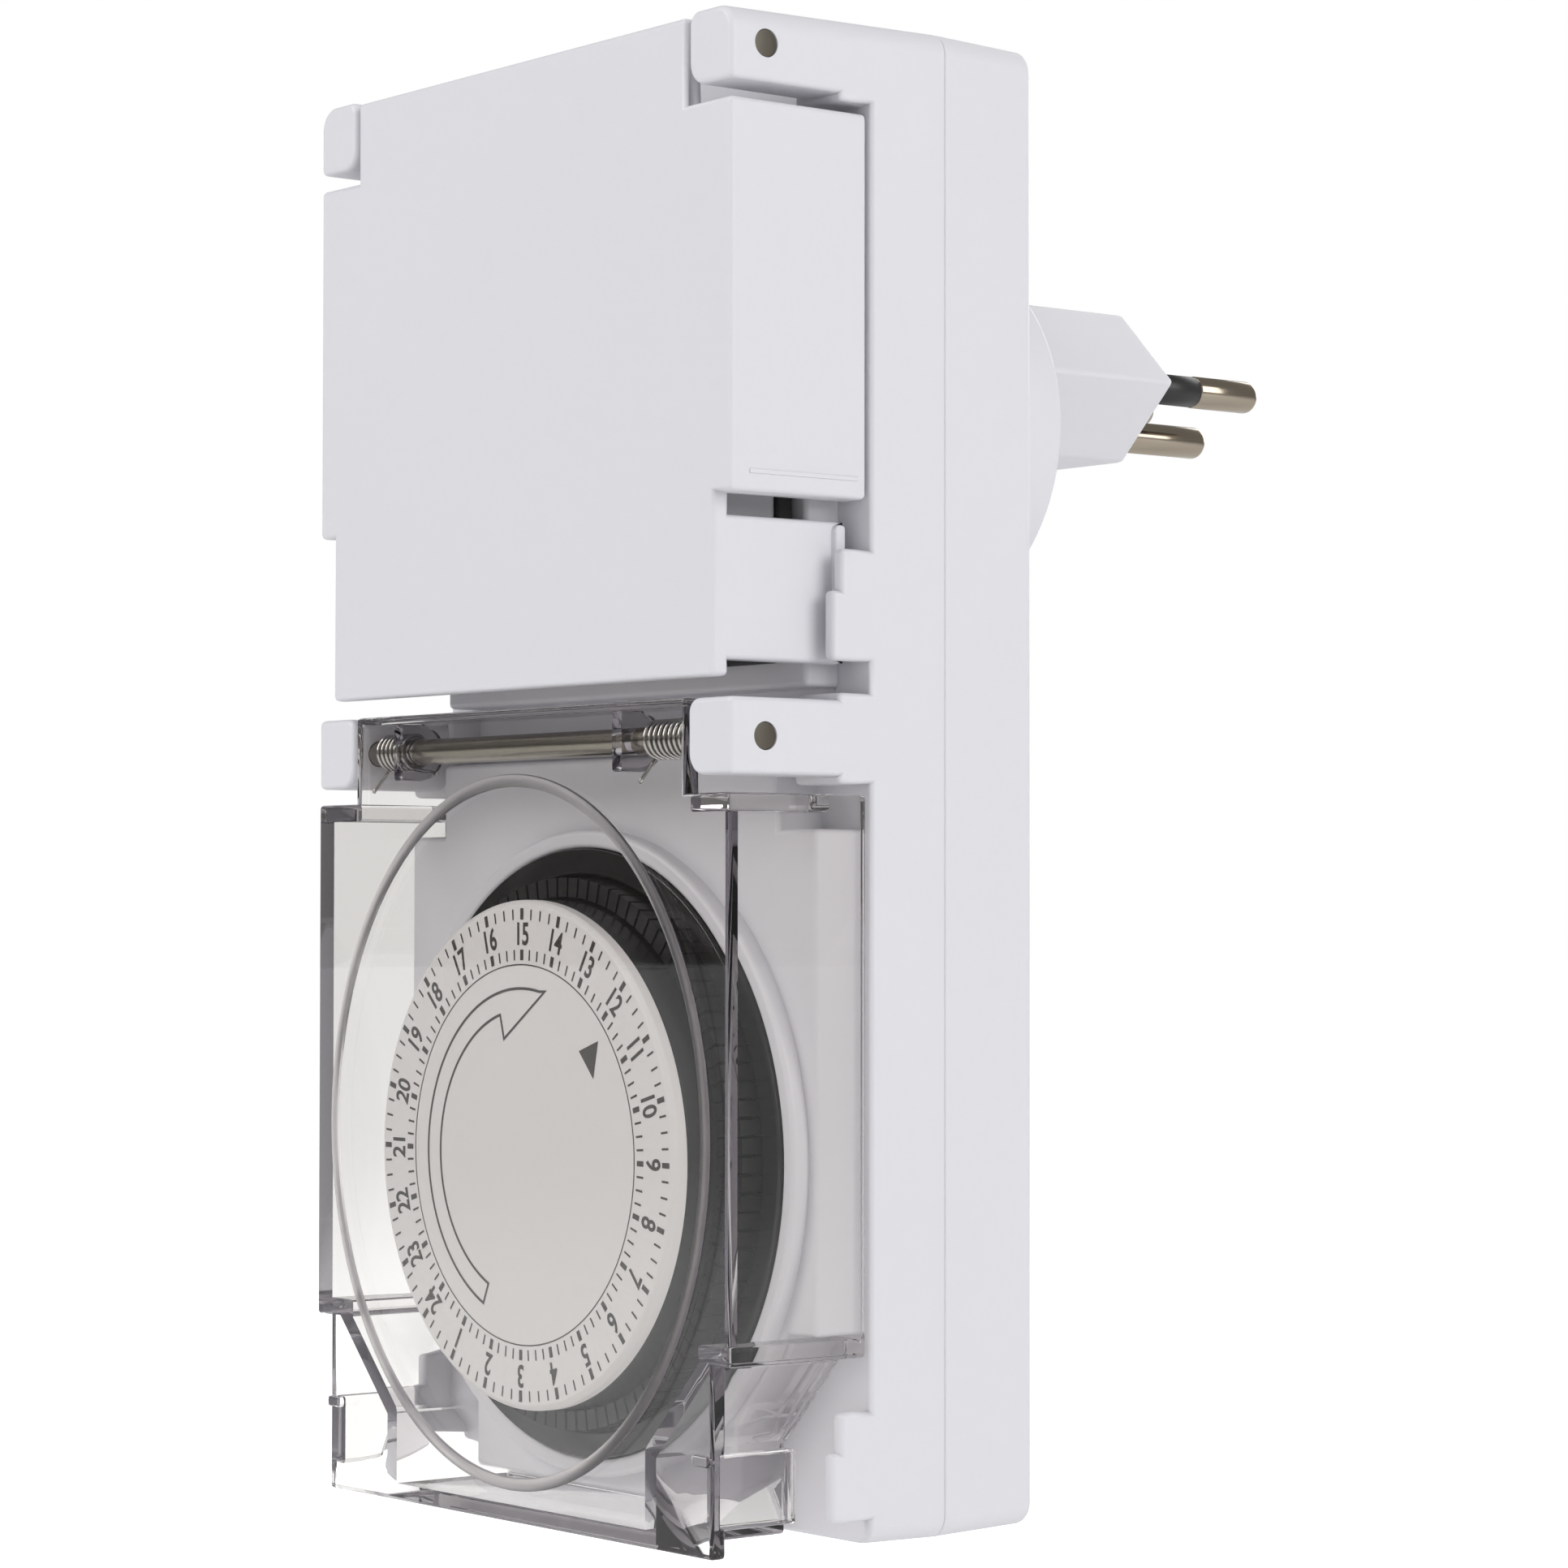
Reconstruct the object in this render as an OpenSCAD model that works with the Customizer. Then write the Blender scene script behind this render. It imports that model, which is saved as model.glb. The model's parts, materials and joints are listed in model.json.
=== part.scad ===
// Outdoor 24 h plug-in timer with a Swiss three-pin plug, millimetres, +Z up, plug towards +Y.
// Modelled with Y = 0 on the lids' parting plane and Z = 0 on the timer lid's hinge, then
// placed by seat() so that the origin is midway between the two live pins on the plug's end face.

/* [Case] */
// width across both shells
body_width = 82; // [78:0.5:86]
// case height above the timer lid's hinge
body_top = 78.6; // [76:0.2:82]
// case height below the timer lid's hinge
body_bottom = 87.5; // [86.8:0.1:90]
// depth of the front shell behind the lids
front_shell_depth = 10.4; // [9.6:0.2:12]
// depth of the rear shell
rear_shell_depth = 13.2; // [12.6:0.2:16]
// moulded wall of both shells
shell_wall = 2.2; // [1.8:0.1:2.4]
// corner radius of the case
corner_radius = 2.6; // [2:0.2:3]
// height of the deck under the socket lid
socket_deck_height = 4.4; // [4:0.1:4.8]
// height of the deck under the timer lid
timer_deck_height = 6.2; // [5.6:0.1:6.4]

/* [Hinges] */
// hinge pin diameter
hinge_pin_d = 3; // [2.6:0.1:3.2]
// lid front plane in front of the parting plane
lid_reach = 19.2; // [18.6:0.1:20]
// hinge axis behind the lid front plane
hinge_setback = 4.7; // [4.5:0.1:4.9]
// width of each hinge lug
lug_width = 8; // [7:0.2:8.4]
// height of each hinge lug
lug_height = 8.3; // [7.9:0.1:8.5]
// inset of the lugs and catches from the case's side
front_inset = 0.4; // [0.2:0.1:0.6]
// radial running clearance of a lid on its pin
hinge_run = 0.05; // [0.02:0.01:0.1]
// wall of the catches that the lids' side tongues snap behind
catch_wall = 1.6; // [1.2:0.1:1.8]
// gap between a lid and its lug
lug_gap = 0.6; // [0.4:0.1:0.8]
// height of the case above the upper hinge axis
upper_hinge_drop = 4.3; // [4.3:0.1:4.6]

/* [Lids] */
// wall of the white socket lid
socket_lid_wall = 2.2; // [1.6:0.1:2.4]
// wall of the clear timer lid
timer_lid_wall = 2; // [1.4:0.1:2.2]
// roof of both lids over their hinges
roof_wall = 0.9; // [0.6:0.1:1]
// side inset of both lids from the case
lid_side_inset = 0.5; // [0.3:0.1:0.8]
// height of the socket lid's wide part
socket_lid_wide = 42.2; // [40:0.2:44]
// socket lid bottom edge above the timer hinge
socket_lid_foot = 6.4; // [6:0.1:7]
// height of the timer lid's wide part
timer_lid_wide = 61; // [60:0.2:62]
// timer lid bottom edge below the timer hinge
timer_lid_foot = 87.6; // [87:0.1:89]
// step in from the wide to the narrow part of a lid
lid_step = 3; // [2.6:0.1:3.2]
// free gap between a lid's back edge and the case
lid_back_gap = 0.4; // [0.3:0.1:0.7]
// half width of the timer lid's moulded oval ring
oval_half_width = 37.2; // [35:0.2:37.4]
// oval ring's middle below the timer hinge
oval_drop = 43.6; // [43:0.1:44.4]
// half height of the timer lid's moulded oval ring
oval_half_height = 40.4; // [38:0.2:40.6]
// width of the oval ring's line
oval_line = 1.5; // [1:0.1:2]
// depth of the oval ring's line
oval_depth = 0.5; // [0.3:0.1:0.8]
// thickness of the socket lid's rubber seal
seal_thickness = 2; // [1.4:0.1:2.4]

/* [Springs] */
// wire of the hinge springs
spring_wire = 0.44; // [0.36:0.02:0.46]
// mean diameter of the hinge springs
spring_mean_d = 4.1; // [4:0.1:4.3]
// rise of one curl
spring_pitch = 0.9; // [0.88:0.02:1]
// curls of the short left springs
left_curls = 6; // [4:1:7]
// curls of the long right springs
right_curls = 10; // [8:1:12]

/* [Dial] */
// dial centre below the timer hinge
dial_drop = 46.3; // [46:0.1:46.6]
// dial face in front of the parting plane
dial_face_reach = 16.6; // [16:0.1:16.8]
// gap between the printed disc and the segment ring
dial_edge_gap = 0.35; // [0.3:0.05:0.6]
// thickness of the dial disc
dial_thickness = 1.8; // [1.4:0.1:2.2]
// number of switching segments, one each quarter hour
tappet_count = 96; // [48:1:96]
// gap between the case's round collar and the timer lid's side
collar_side_gap = 1.65; // [1.4:0.05:2.6]
// radial length of a segment
tappet_length = 2.2; // [1.6:0.1:2.4]
// height of a segment
tappet_height = 4.6; // [4:0.1:5]
// width of the black bezel's ring
bezel_width = 3; // [2.4:0.1:3.2]
// bezel front in front of the parting plane
bezel_reach = 8.6; // [8.2:0.1:9]
// width of the case's round collar
collar_width = 2.1; // [1.6:0.1:2.2]
// arbor diameter
arbor_d = 4; // [3:0.1:5]

/* [Drive] */
// gear module of the dial stage
dial_module = 0.75; // [0.7:0.05:0.75]
// teeth of the dial gear
dial_teeth = 60; // [54:1:60]
// teeth of the intermediate pinion
pinion_teeth = 10; // [9:1:11]
// gear module of the motor stage
motor_module = 0.5; // [0.4:0.05:0.55]
// teeth of the intermediate wheel
wheel_teeth = 36; // [32:1:38]
// teeth of the motor pinion
motor_teeth = 9; // [8:1:10]
// thickness of each gear
gear_width = 1.2; // [1:0.1:1.4]
// motor can diameter
motor_d = 32; // [28:0.5:33]
// motor can depth
motor_depth = 10; // [8:0.2:11]

/* [Plug] */
// pin diameter
plug_pin_d = 4; // [3.8:0.1:4.2]
// shank diameter of the pins inside the plug
pin_shank_d = 3.3; // [3:0.1:3.5]
// distance between line and neutral pins
plug_pin_pitch = 19; // [18:0.5:20]
// pin length beyond the plug's end face
plug_pin_length = 19; // [17:0.5:20]
// earth pin below the line and neutral pins
earth_drop = 5; // [4.6:0.1:5.4]
// black sleeve on the live pins
sleeve_length = 9; // [7:0.5:10]
// wall of the sleeve
sleeve_wall = 0.5; // [0.4:0.05:0.6]
// width of the hexagonal plug body
hex_width = 32; // [30:0.5:34]
// height of the hexagonal plug body
hex_height = 18.5; // [17.5:0.5:19.5]
// width of the hexagon's flat top
hex_flat = 13.4; // [12:0.2:15]
// length of the hexagonal plug body
hex_length = 24; // [22:0.5:26]
// diameter of the round neck
neck_d = 44; // [42:0.5:46]
// length of the round neck
neck_length = 21.4; // [18:0.2:24]
// plug pins above the timer hinge
plug_height = 46.6; // [44:0.2:48]
// neck axis below the live pins
neck_drop = 7.4; // [6:0.2:8]

/* [Socket] */
// diameter of the socket insert
socket_d = 38; // [37:0.5:39]
// width of the socket's hexagonal recess
recess_width = 33.4; // [33:0.2:35]
// height of the socket's hexagonal recess
recess_height = 19.6; // [19:0.2:21]
// depth of the socket's recess
recess_depth = 10; // [8:0.5:12]
// contact tube wall
contact_wall = 0.8; // [0.5:0.1:1]
// contact tube length
contact_length = 8; // [6:0.5:9]
// thickness of the brass conductors
strip_thickness = 1; // [0.6:0.1:1.2]

/* [Screws] */
// case screw shank diameter
screw_d = 3; // [2.6:0.1:3.2]
// case screw head diameter
screw_head_d = 5.6; // [5.2:0.1:6]
// wall of the screw posts
post_wall = 1.6; // [1.2:0.1:2]

/* [Clearances] */
// clearance of seated pieces that do not move
fit = 0.05; // [0.02:0.01:0.1]
// clearance between moving pieces
run = 0.35; // [0.3:0.05:0.4]

/* [Hidden] */
$fn = 48;
eps = 0.01;
half = body_width / 2;
case_back = front_shell_depth + rear_shell_depth;
floor_y = case_back - shell_wall;
plug_face = case_back + neck_length + hex_length;
top_axis = body_top - upper_hinge_drop;
hinge_y = hinge_setback - lid_reach;
lug_inner = half - lug_width;
lid_half = half - lid_side_inset;
narrow_half = lid_half - lid_step;
barrel_half = lug_inner - lug_gap;
lug_round = 1.5;
// a lid's wide part starts below the corner that its lug sweeps past
shoulder = lug_height / 2 + 1.9;
socket_top = top_axis - shoulder;
socket_low = socket_top - socket_lid_wide;
timer_top = -shoulder;
timer_low = timer_top - timer_lid_wide;
deck_half = lid_half - socket_lid_wall - run;
deck_narrow = narrow_half - socket_lid_wall - run;
pad_height = lug_height + 1.6;
hinge_hole = hinge_pin_d / 2 + fit;
// dial stack from the face backwards
dial_y = -dial_face_reach;
drum_front = dial_y + dial_thickness;
// the dial's rings fill the room between the lid's sides, above its foot
collar_outer = min(lid_half - timer_lid_wall - collar_side_gap, timer_lid_foot - timer_lid_wall - dial_drop - 0.8);
tappet_inner = collar_outer - collar_width - bezel_width - run - tappet_length;
dial_radius = tappet_inner - dial_edge_gap;
tappet_outer = tappet_inner + tappet_length;
bezel_inner = tappet_outer + run;
bezel_outer = bezel_inner + bezel_width;
flange_front = -bezel_reach + 2.2;
flange_back = flange_front + 1.4;
dial_gear_back = flange_back + gear_width + 0.2;
base_front = dial_gear_back + run;
base_back = base_front + 2.4;
wheel_front = base_back + run;
wheel_back = wheel_front + gear_width;
motor_front = wheel_back + run + 0.4;
dial_pitch = dial_module * dial_teeth / 2;
stage_offset = dial_module * (dial_teeth + pinion_teeth) / 2 + 0.1;
motor_offset = motor_module * (wheel_teeth + motor_teeth) / 2 + 0.1;
stage_angle = -120;
motor_angle = 60;
stage_x = stage_offset * cos(stage_angle);
stage_z = -dial_drop + stage_offset * sin(stage_angle);
motor_x = stage_x + motor_offset * cos(motor_angle);
motor_z = stage_z + motor_offset * sin(motor_angle);
shaft_r = 0.8;
hub_r = 2;
socket_front = -socket_deck_height + 0.4;
recess_floor = socket_front + recess_depth;
contact_front = recess_floor + 1;
contact_back = contact_front + contact_length;
strip_front = floor_y - 0.6 - strip_thickness;
pin_inner = strip_front + strip_thickness;
neck_spigot = neck_d / 2 - 1.4;
pin_collar = 0.6;
pin_relief = 0.4;
switch_x = 0;
switch_z = -dial_drop + tappet_inner - 9.9;
screw_x = half - shell_wall - screw_head_d / 2 - post_wall + 0.6;
screw_z = [body_top - shell_wall - 4.6, -body_bottom + shell_wall + 4.6];
seal_half = deck_narrow - 2.4;
rib = 1.8;

// ---- helpers ----

// from modelling place to the plug's frame
module seat() { translate([0, -plug_face, -plug_height]) children(); }
module box(x0, x1, y0, y1, z0, z1) { translate([x0, y0, z0]) cube([x1 - x0, y1 - y0, z1 - z0]); }
module rod_y(r, y0, y1, x = 0, z = 0) { translate([x, y1, z]) rotate([90, 0, 0]) cylinder(r = r, h = y1 - y0); }
module rod_x(r, x0, x1, y, z) { translate([x0, y, z]) rotate([0, 90, 0]) cylinder(r = r, h = x1 - x0); }
// an outline drawn in X and Z, pushed along Y
module slab(y0, y1) { translate([0, y1, 0]) rotate([90, 0, 0]) linear_extrude(y1 - y0) children(); }
// an outline drawn in Y and Z, pushed along X
module bar(x0, x1) { translate([x0, 0, 0]) rotate([90, 0, 90]) linear_extrude(x1 - x0) children(); }
module rounded(x0, x1, z0, z1, r) {
  translate([x0 + r, z0]) square([x1 - x0 - 2 * r, z1 - z0]);
  translate([x0, z0 + r]) square([x1 - x0, z1 - z0 - 2 * r]);
  for (x = [x0 + r, x1 - r], z = [z0 + r, z1 - r]) translate([x, z]) circle(r);
}
module both_sides() { children(); mirror([1, 0, 0]) children(); }
module hexagon(w, h, flat) {
  polygon([[-w / 2, 0], [-flat / 2, h / 2], [flat / 2, h / 2], [w / 2, 0], [flat / 2, -h / 2], [-flat / 2, -h / 2]]);
}
// turn: the angle of one tooth's middle
module spur(teeth, m, width, bore, turn) {
  pitch = m * teeth / 2;
  step = 360 / teeth;
  difference() {
    linear_extrude(width) union() {
      circle(pitch - 0.9 * m);
      for (i = [0 : teeth - 1]) rotate(turn + i * step) polygon([[pitch - 1.2 * m, -0.72 * m], [pitch + 0.8 * m, -0.3 * m],
        [pitch + 0.8 * m, 0.3 * m], [pitch - 1.2 * m, 0.72 * m]]);
    }
    if (bore > 0) translate([0, 0, -1]) cylinder(r = bore, h = width + 2);
  }
}
module gear_y(teeth, m, y0, width, bore, x, z, turn) {
  translate([x, y0 + width, z]) rotate([90, 0, 0]) spur(teeth, m, width, bore, turn);
}

// one torsion spring as one tube: straight leg to the lid, curls round X, straight leg to the case
rings_per_curl = 8;
function curl_point(x0, axis_z, curls, i) =
  let (a = -90 + 360 * i / rings_per_curl)
  [x0 + spring_wire + spring_pitch * i / rings_per_curl, hinge_y + spring_mean_d / 2 * cos(a), axis_z + spring_mean_d / 2 * sin(a)];
function spring_path(x0, axis_z, curls) = concat(
  [[x0 + spring_wire, hinge_y - 2.2, axis_z - spring_mean_d / 2 - 2.6]],
  [for (i = [0 : curls * rings_per_curl]) curl_point(x0, axis_z, curls, i)],
  [[x0 + spring_wire + spring_pitch * curls, hinge_y + 3.4, axis_z - spring_mean_d / 2 - 0.4]]);
function unit(v) = v / norm(v);
function ring_at(p, t, r) = let (u = unit(cross(t, [1, 0.02, 0.01])), w = cross(t, u))
  [for (k = [0 : 5]) p + r * (u * cos(60 * k) + w * sin(60 * k))];
module tube(path, r) {
  n = len(path);
  rings = [for (i = [0 : n - 1]) ring_at(path[i], unit(path[min(i + 1, n - 1)] - path[max(i - 1, 0)]), r)];
  points = [for (q = rings, p = q) p];
  sides = [for (i = [0 : n - 2], k = [0 : 5]) each [
    [6 * i + k, 6 * i + (k + 1) % 6, 6 * (i + 1) + (k + 1) % 6], [6 * i + k, 6 * (i + 1) + (k + 1) % 6, 6 * (i + 1) + k]]];
  caps = [for (k = [1 : 4]) each [[0, k + 1, k], [6 * (n - 1), 6 * (n - 1) + k, 6 * (n - 1) + k + 1]]];
  polyhedron(points, concat(sides, caps));
}
// least gap between points a curl or more apart, less the wire
function least_gap(path) = min([for (i = [0 : len(path) - 1], j = [i + rings_per_curl - 2 : len(path) - 1]) if (j < len(path)) norm(path[i] - path[j])]) - spring_wire;
module hinge_spring(x0, axis_z, curls) {
  path = spring_path(x0, axis_z, curls);
  echo(least_gap = least_gap(path));
  tube(path, spring_wire / 2);
}
left_spring_x = -barrel_half + 0.3;
left_knuckle_x = left_spring_x + left_curls * spring_pitch + 2 * spring_wire + 0.36;
right_spring_x = barrel_half - 0.9 - right_curls * spring_pitch - spring_wire;

// ---- shells ----

module deck_outline(w, narrow, top, step, foot) {
  polygon([[-w, top], [w, top], [w, step], [narrow, step], [narrow, foot], [-narrow, foot], [-narrow, step], [-w, step]]);
}
timer_deck_top = timer_top - timer_lid_wall - run - 1.4;
timer_deck_side = lid_half - timer_lid_wall - run;
timer_deck_step = timer_low + timer_lid_wall + run;
timer_wall_in = 24.4;
module timer_deck_outline(s = 0) {
  w = timer_deck_side - s;
  f = timer_wall_in - run - s;
  polygon([[-w, timer_deck_top - s], [w, timer_deck_top - s], [w, timer_deck_step], [w - 5.2, timer_deck_step], [f, timer_deck_step - 11],
    [f, -body_bottom + 3 + s], [-f, -body_bottom + 3 + s], [-f, timer_deck_step - 11], [5.2 - w, timer_deck_step], [-w, timer_deck_step]]);
}
module lug(axis_z) {
  h = lug_height / 2;
  difference() {
    slab(-lid_reach, eps) rounded(lug_inner, half - front_inset, axis_z - h, axis_z + h, corner_radius);
    // front edges broken, so that a lid's shoulder sweeps past
    for (s = [-1, 1]) bar(lug_inner - 1, half + 1) translate([-lid_reach, axis_z + s * h])
      polygon([[-1, -s * (lug_round + 1)], [lug_round + 1, s], [-1, s]]);
  }
}
module hinge_pad(z0, z1) { box(lug_inner - 0.3, half - front_inset / 2, -socket_deck_height, eps, z0, z1); }
// catch that a lid's side tongue snaps over, in two steps
module catch(z0, z1, z2) {
  box(half - front_inset / 2 - catch_wall, half - front_inset / 2, -5.3, eps, z0, z1);
  box(half - front_inset / 2 - catch_wall, half - front_inset / 2, -4.1, eps, z1 - eps, z2);
}
module screw_places() { for (x = [-screw_x, screw_x], z = screw_z) translate([x, 0, z]) children(); }

module front_shell() color("white") {
  difference() {
    union() {
      slab(0, front_shell_depth) rounded(-half, half, -body_bottom, body_top, corner_radius);
      slab(-socket_deck_height, eps) deck_outline(deck_half, deck_narrow, socket_top - socket_lid_wall, socket_low + socket_lid_wall, 5.8);
      slab(-timer_deck_height, eps) timer_deck_outline();
      rod_y(bezel_outer + fit + collar_width, -bezel_reach + 0.3, 0, 0, -dial_drop);
      both_sides() {
        lug(top_axis);
        lug(0);
        hinge_pad(top_axis - pad_height / 2, body_top - corner_radius - 0.3);
        hinge_pad(-pad_height / 2, pad_height / 2);
        catch(8.4, 16, 20.6);
        catch(-body_bottom + corner_radius + 0.3, -body_bottom + 10.4, -body_bottom + 14.7);
      }
    }
    // hollow from behind, under both decks too
    slab(shell_wall, front_shell_depth + 1) rounded(shell_wall - half, half - shell_wall, shell_wall - body_bottom, body_top - shell_wall, corner_radius - 1);
    slab(shell_wall - timer_deck_height, shell_wall + eps) timer_deck_outline(shell_wall);
    slab(shell_wall - socket_deck_height, shell_wall + eps) deck_outline(deck_half - shell_wall, deck_narrow - shell_wall,
      socket_top - socket_lid_wall - shell_wall, socket_low + socket_lid_wall + shell_wall, 5.8 + shell_wall);
    rod_y(bezel_outer + fit, -20, 20, 0, -dial_drop);
    rod_y(socket_d / 2 + fit, -20, 20, 0, plug_height - earth_drop / 2);
    for (z = [top_axis, 0]) rod_x(hinge_hole, -half - 1, half + 1, hinge_y, z);
  }
  difference() {
    screw_places() rod_y(screw_d / 2 + post_wall, shell_wall - eps, front_shell_depth);
    screw_places() rod_y(screw_d / 2 + fit, shell_wall + 1, front_shell_depth + 1);
  }
}

module rear_shell() color("white") {
  difference() {
    slab(front_shell_depth, case_back) rounded(-half, half, -body_bottom, body_top, corner_radius);
    slab(front_shell_depth - 1, floor_y) rounded(shell_wall - half, half - shell_wall, shell_wall - body_bottom, body_top - shell_wall, corner_radius - 1);
    rod_y(neck_spigot + fit, floor_y - 1, case_back + 1, 0, plug_height - neck_drop);
    screw_places() rod_y(screw_head_d / 2 + fit, case_back - 1.8, case_back + 1);
    screw_places() rod_y(screw_d / 2 + 0.2, floor_y - 1, case_back + 1);
  }
  difference() {
    screw_places() rod_y(screw_d / 2 + post_wall, front_shell_depth, floor_y + eps);
    screw_places() rod_y(screw_d / 2 + 0.2, front_shell_depth - 1, case_back + 1);
  }
}

// ---- plug ----

module at_line() { translate([plug_pin_pitch / 2, 0, plug_height]) children(); }
module at_neutral() { translate([-plug_pin_pitch / 2, 0, plug_height]) children(); }
module at_earth() { translate([0, 0, plug_height - earth_drop]) children(); }

module plug_body() color("white") difference() {
  union() {
    rod_y(neck_d / 2, case_back, case_back + neck_length, 0, plug_height - neck_drop);
    rod_y(neck_spigot, pin_inner, case_back + eps, 0, plug_height - neck_drop);
    translate([0, 0, plug_height]) slab(case_back + neck_length - eps, plug_face) hexagon(hex_width, hex_height, hex_flat);
  }
  // hollow neck, open to the case
  rod_y(neck_spigot - shell_wall, pin_inner - 1, case_back + neck_length - shell_wall, 0, plug_height - neck_drop);
  at_line() pin_hole();
  at_neutral() pin_hole();
  at_earth() pin_hole();
}
// a pin's hole, widened at the face to clear the pin's full width
module pin_hole() {
  rod_y(pin_shank_d / 2 + fit, 0, plug_face + 1);
  translate([0, plug_face - pin_relief, 0]) rotate([-90, 0, 0]) cylinder(r1 = pin_shank_d / 2 + fit, r2 = plug_pin_d / 2 + fit, h = pin_relief + eps);
}
module pin_tip() {
  translate([0, plug_face + plug_pin_length - 0.8, 0]) rotate([-90, 0, 0]) cylinder(r1 = plug_pin_d / 2, r2 = plug_pin_d / 2 - 0.7, h = 0.8);
}
module live_pin() color("silver") {
  rod_y(pin_shank_d / 2, pin_inner, plug_face + eps);
  rod_y(plug_pin_d / 2, plug_face, plug_face + pin_collar);
  rod_y(plug_pin_d / 2 - sleeve_wall, plug_face + pin_collar - eps, plug_face + sleeve_length + eps);
  rod_y(plug_pin_d / 2, plug_face + sleeve_length, plug_face + plug_pin_length - 0.8 + eps);
  pin_tip();
}
module sleeve() color("black") difference() {
  rod_y(plug_pin_d / 2 - 0.08, plug_face + pin_collar, plug_face + sleeve_length);
  rod_y(plug_pin_d / 2 - sleeve_wall + 0.01, plug_face - 1, plug_face + sleeve_length + 1);
}
module pin_line() { at_line() live_pin(); }
module pin_neutral() { at_neutral() live_pin(); }
module pin_earth() color("silver") at_earth() {
  rod_y(pin_shank_d / 2, pin_inner, plug_face + eps);
  rod_y(plug_pin_d / 2, plug_face, plug_face + plug_pin_length - 0.8 + eps);
  pin_tip();
}
module sleeve_line() { at_line() sleeve(); }
module sleeve_neutral() { at_neutral() sleeve(); }

// ---- socket ----

module socket_insert() color("whitesmoke") difference() {
  rod_y(socket_d / 2, socket_front, contact_back - 1, 0, plug_height - earth_drop / 2);
  translate([0, 0, plug_height - earth_drop / 2 + 0.6]) slab(socket_front - 1, recess_floor) hexagon(recess_width, recess_height, hex_flat + 1);
  for (side = [-1, 1]) translate([side * plug_pin_pitch / 2, 0, plug_height]) {
    rod_y(plug_pin_d / 2 + 0.4, recess_floor - 1, contact_front + 1);
    rod_y(plug_pin_d / 2 + contact_wall + 2 * fit, contact_front, contact_back + 1);
  }
  at_earth() {
    rod_y(plug_pin_d / 2 + 0.4, recess_floor - 1, contact_front + 1);
    rod_y(plug_pin_d / 2 + contact_wall + 2 * fit, contact_front, contact_back + 1);
  }
}
module contact() color("goldenrod") difference() {
  rod_y(plug_pin_d / 2 + contact_wall + fit, contact_front, contact_back);
  rod_y(plug_pin_d / 2 + fit, contact_front - 1, contact_back + 1);
}
module contact_line() { at_line() contact(); }
module contact_neutral() { at_neutral() contact(); }
module contact_earth() { at_earth() contact(); }

// conductor from a contact tube straight to its pin
module straight_strip(side) {
  box(-2.4, 2.4, contact_back, contact_back + strip_thickness, -2.4, 2.4);
  box(-2.4, 2.4, contact_back, strip_front + eps, side * 2.4 - (side > 0 ? strip_thickness : 0), side * 2.4 + (side > 0 ? 0 : strip_thickness));
  box(-2.4, 2.4, strip_front, pin_inner, -2.4, 2.4);
}
module strip_neutral() color("goldenrod") at_neutral() straight_strip(1);
module strip_earth() color("goldenrod") at_earth() straight_strip(-1);
// the line runs down to the microswitch and back
module strip_line_out() color("goldenrod") {
  box(plug_pin_pitch / 2 - 2.4, plug_pin_pitch / 2 + 2.4, contact_back, contact_back + strip_thickness, switch_z + 3, plug_height + 2.4);
  box(switch_x + 3, plug_pin_pitch / 2 - 2.4 + eps, contact_back, contact_back + strip_thickness, switch_z + 3, switch_z + 6);
  box(switch_x + 3, switch_x + 6, 9, contact_back + eps, switch_z + 3, switch_z + 4);
}
module strip_line_in() color("goldenrod") {
  box(plug_pin_pitch / 2 - 2.4, plug_pin_pitch / 2 + 2.4, strip_front, pin_inner, switch_z - 2, plug_height + 2.4);
  box(switch_x - 6, plug_pin_pitch / 2 - 2.4 + eps, strip_front, pin_inner, switch_z - 2, switch_z + 1);
  box(switch_x - 6, switch_x - 3, 9, strip_front + eps, switch_z - 2, switch_z - 1);
}

// ---- lids ----

module hinge_pin(z) color("silver") rod_x(hinge_pin_d / 2, front_inset + 0.05 - half, half - front_inset - 0.05, hinge_y, z);
module socket_hinge_pin() { hinge_pin(top_axis); }
module timer_hinge_pin() { hinge_pin(0); }

// knuckles of a lid, with room for a spring at each end
module knuckle(x0, x1, z) {
  difference() {
    bar(x0, x1) {
      translate([hinge_y, z]) circle(hinge_setback - 1.3);
      translate([-lid_reach + eps, z - (hinge_setback - 1.3)]) square([hinge_setback - eps, 2 * hinge_setback - 2.6]);
    }
    rod_x(hinge_pin_d / 2 + hinge_run, x0 - 1, x1 + 1, hinge_y, z);
  }
}
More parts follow.
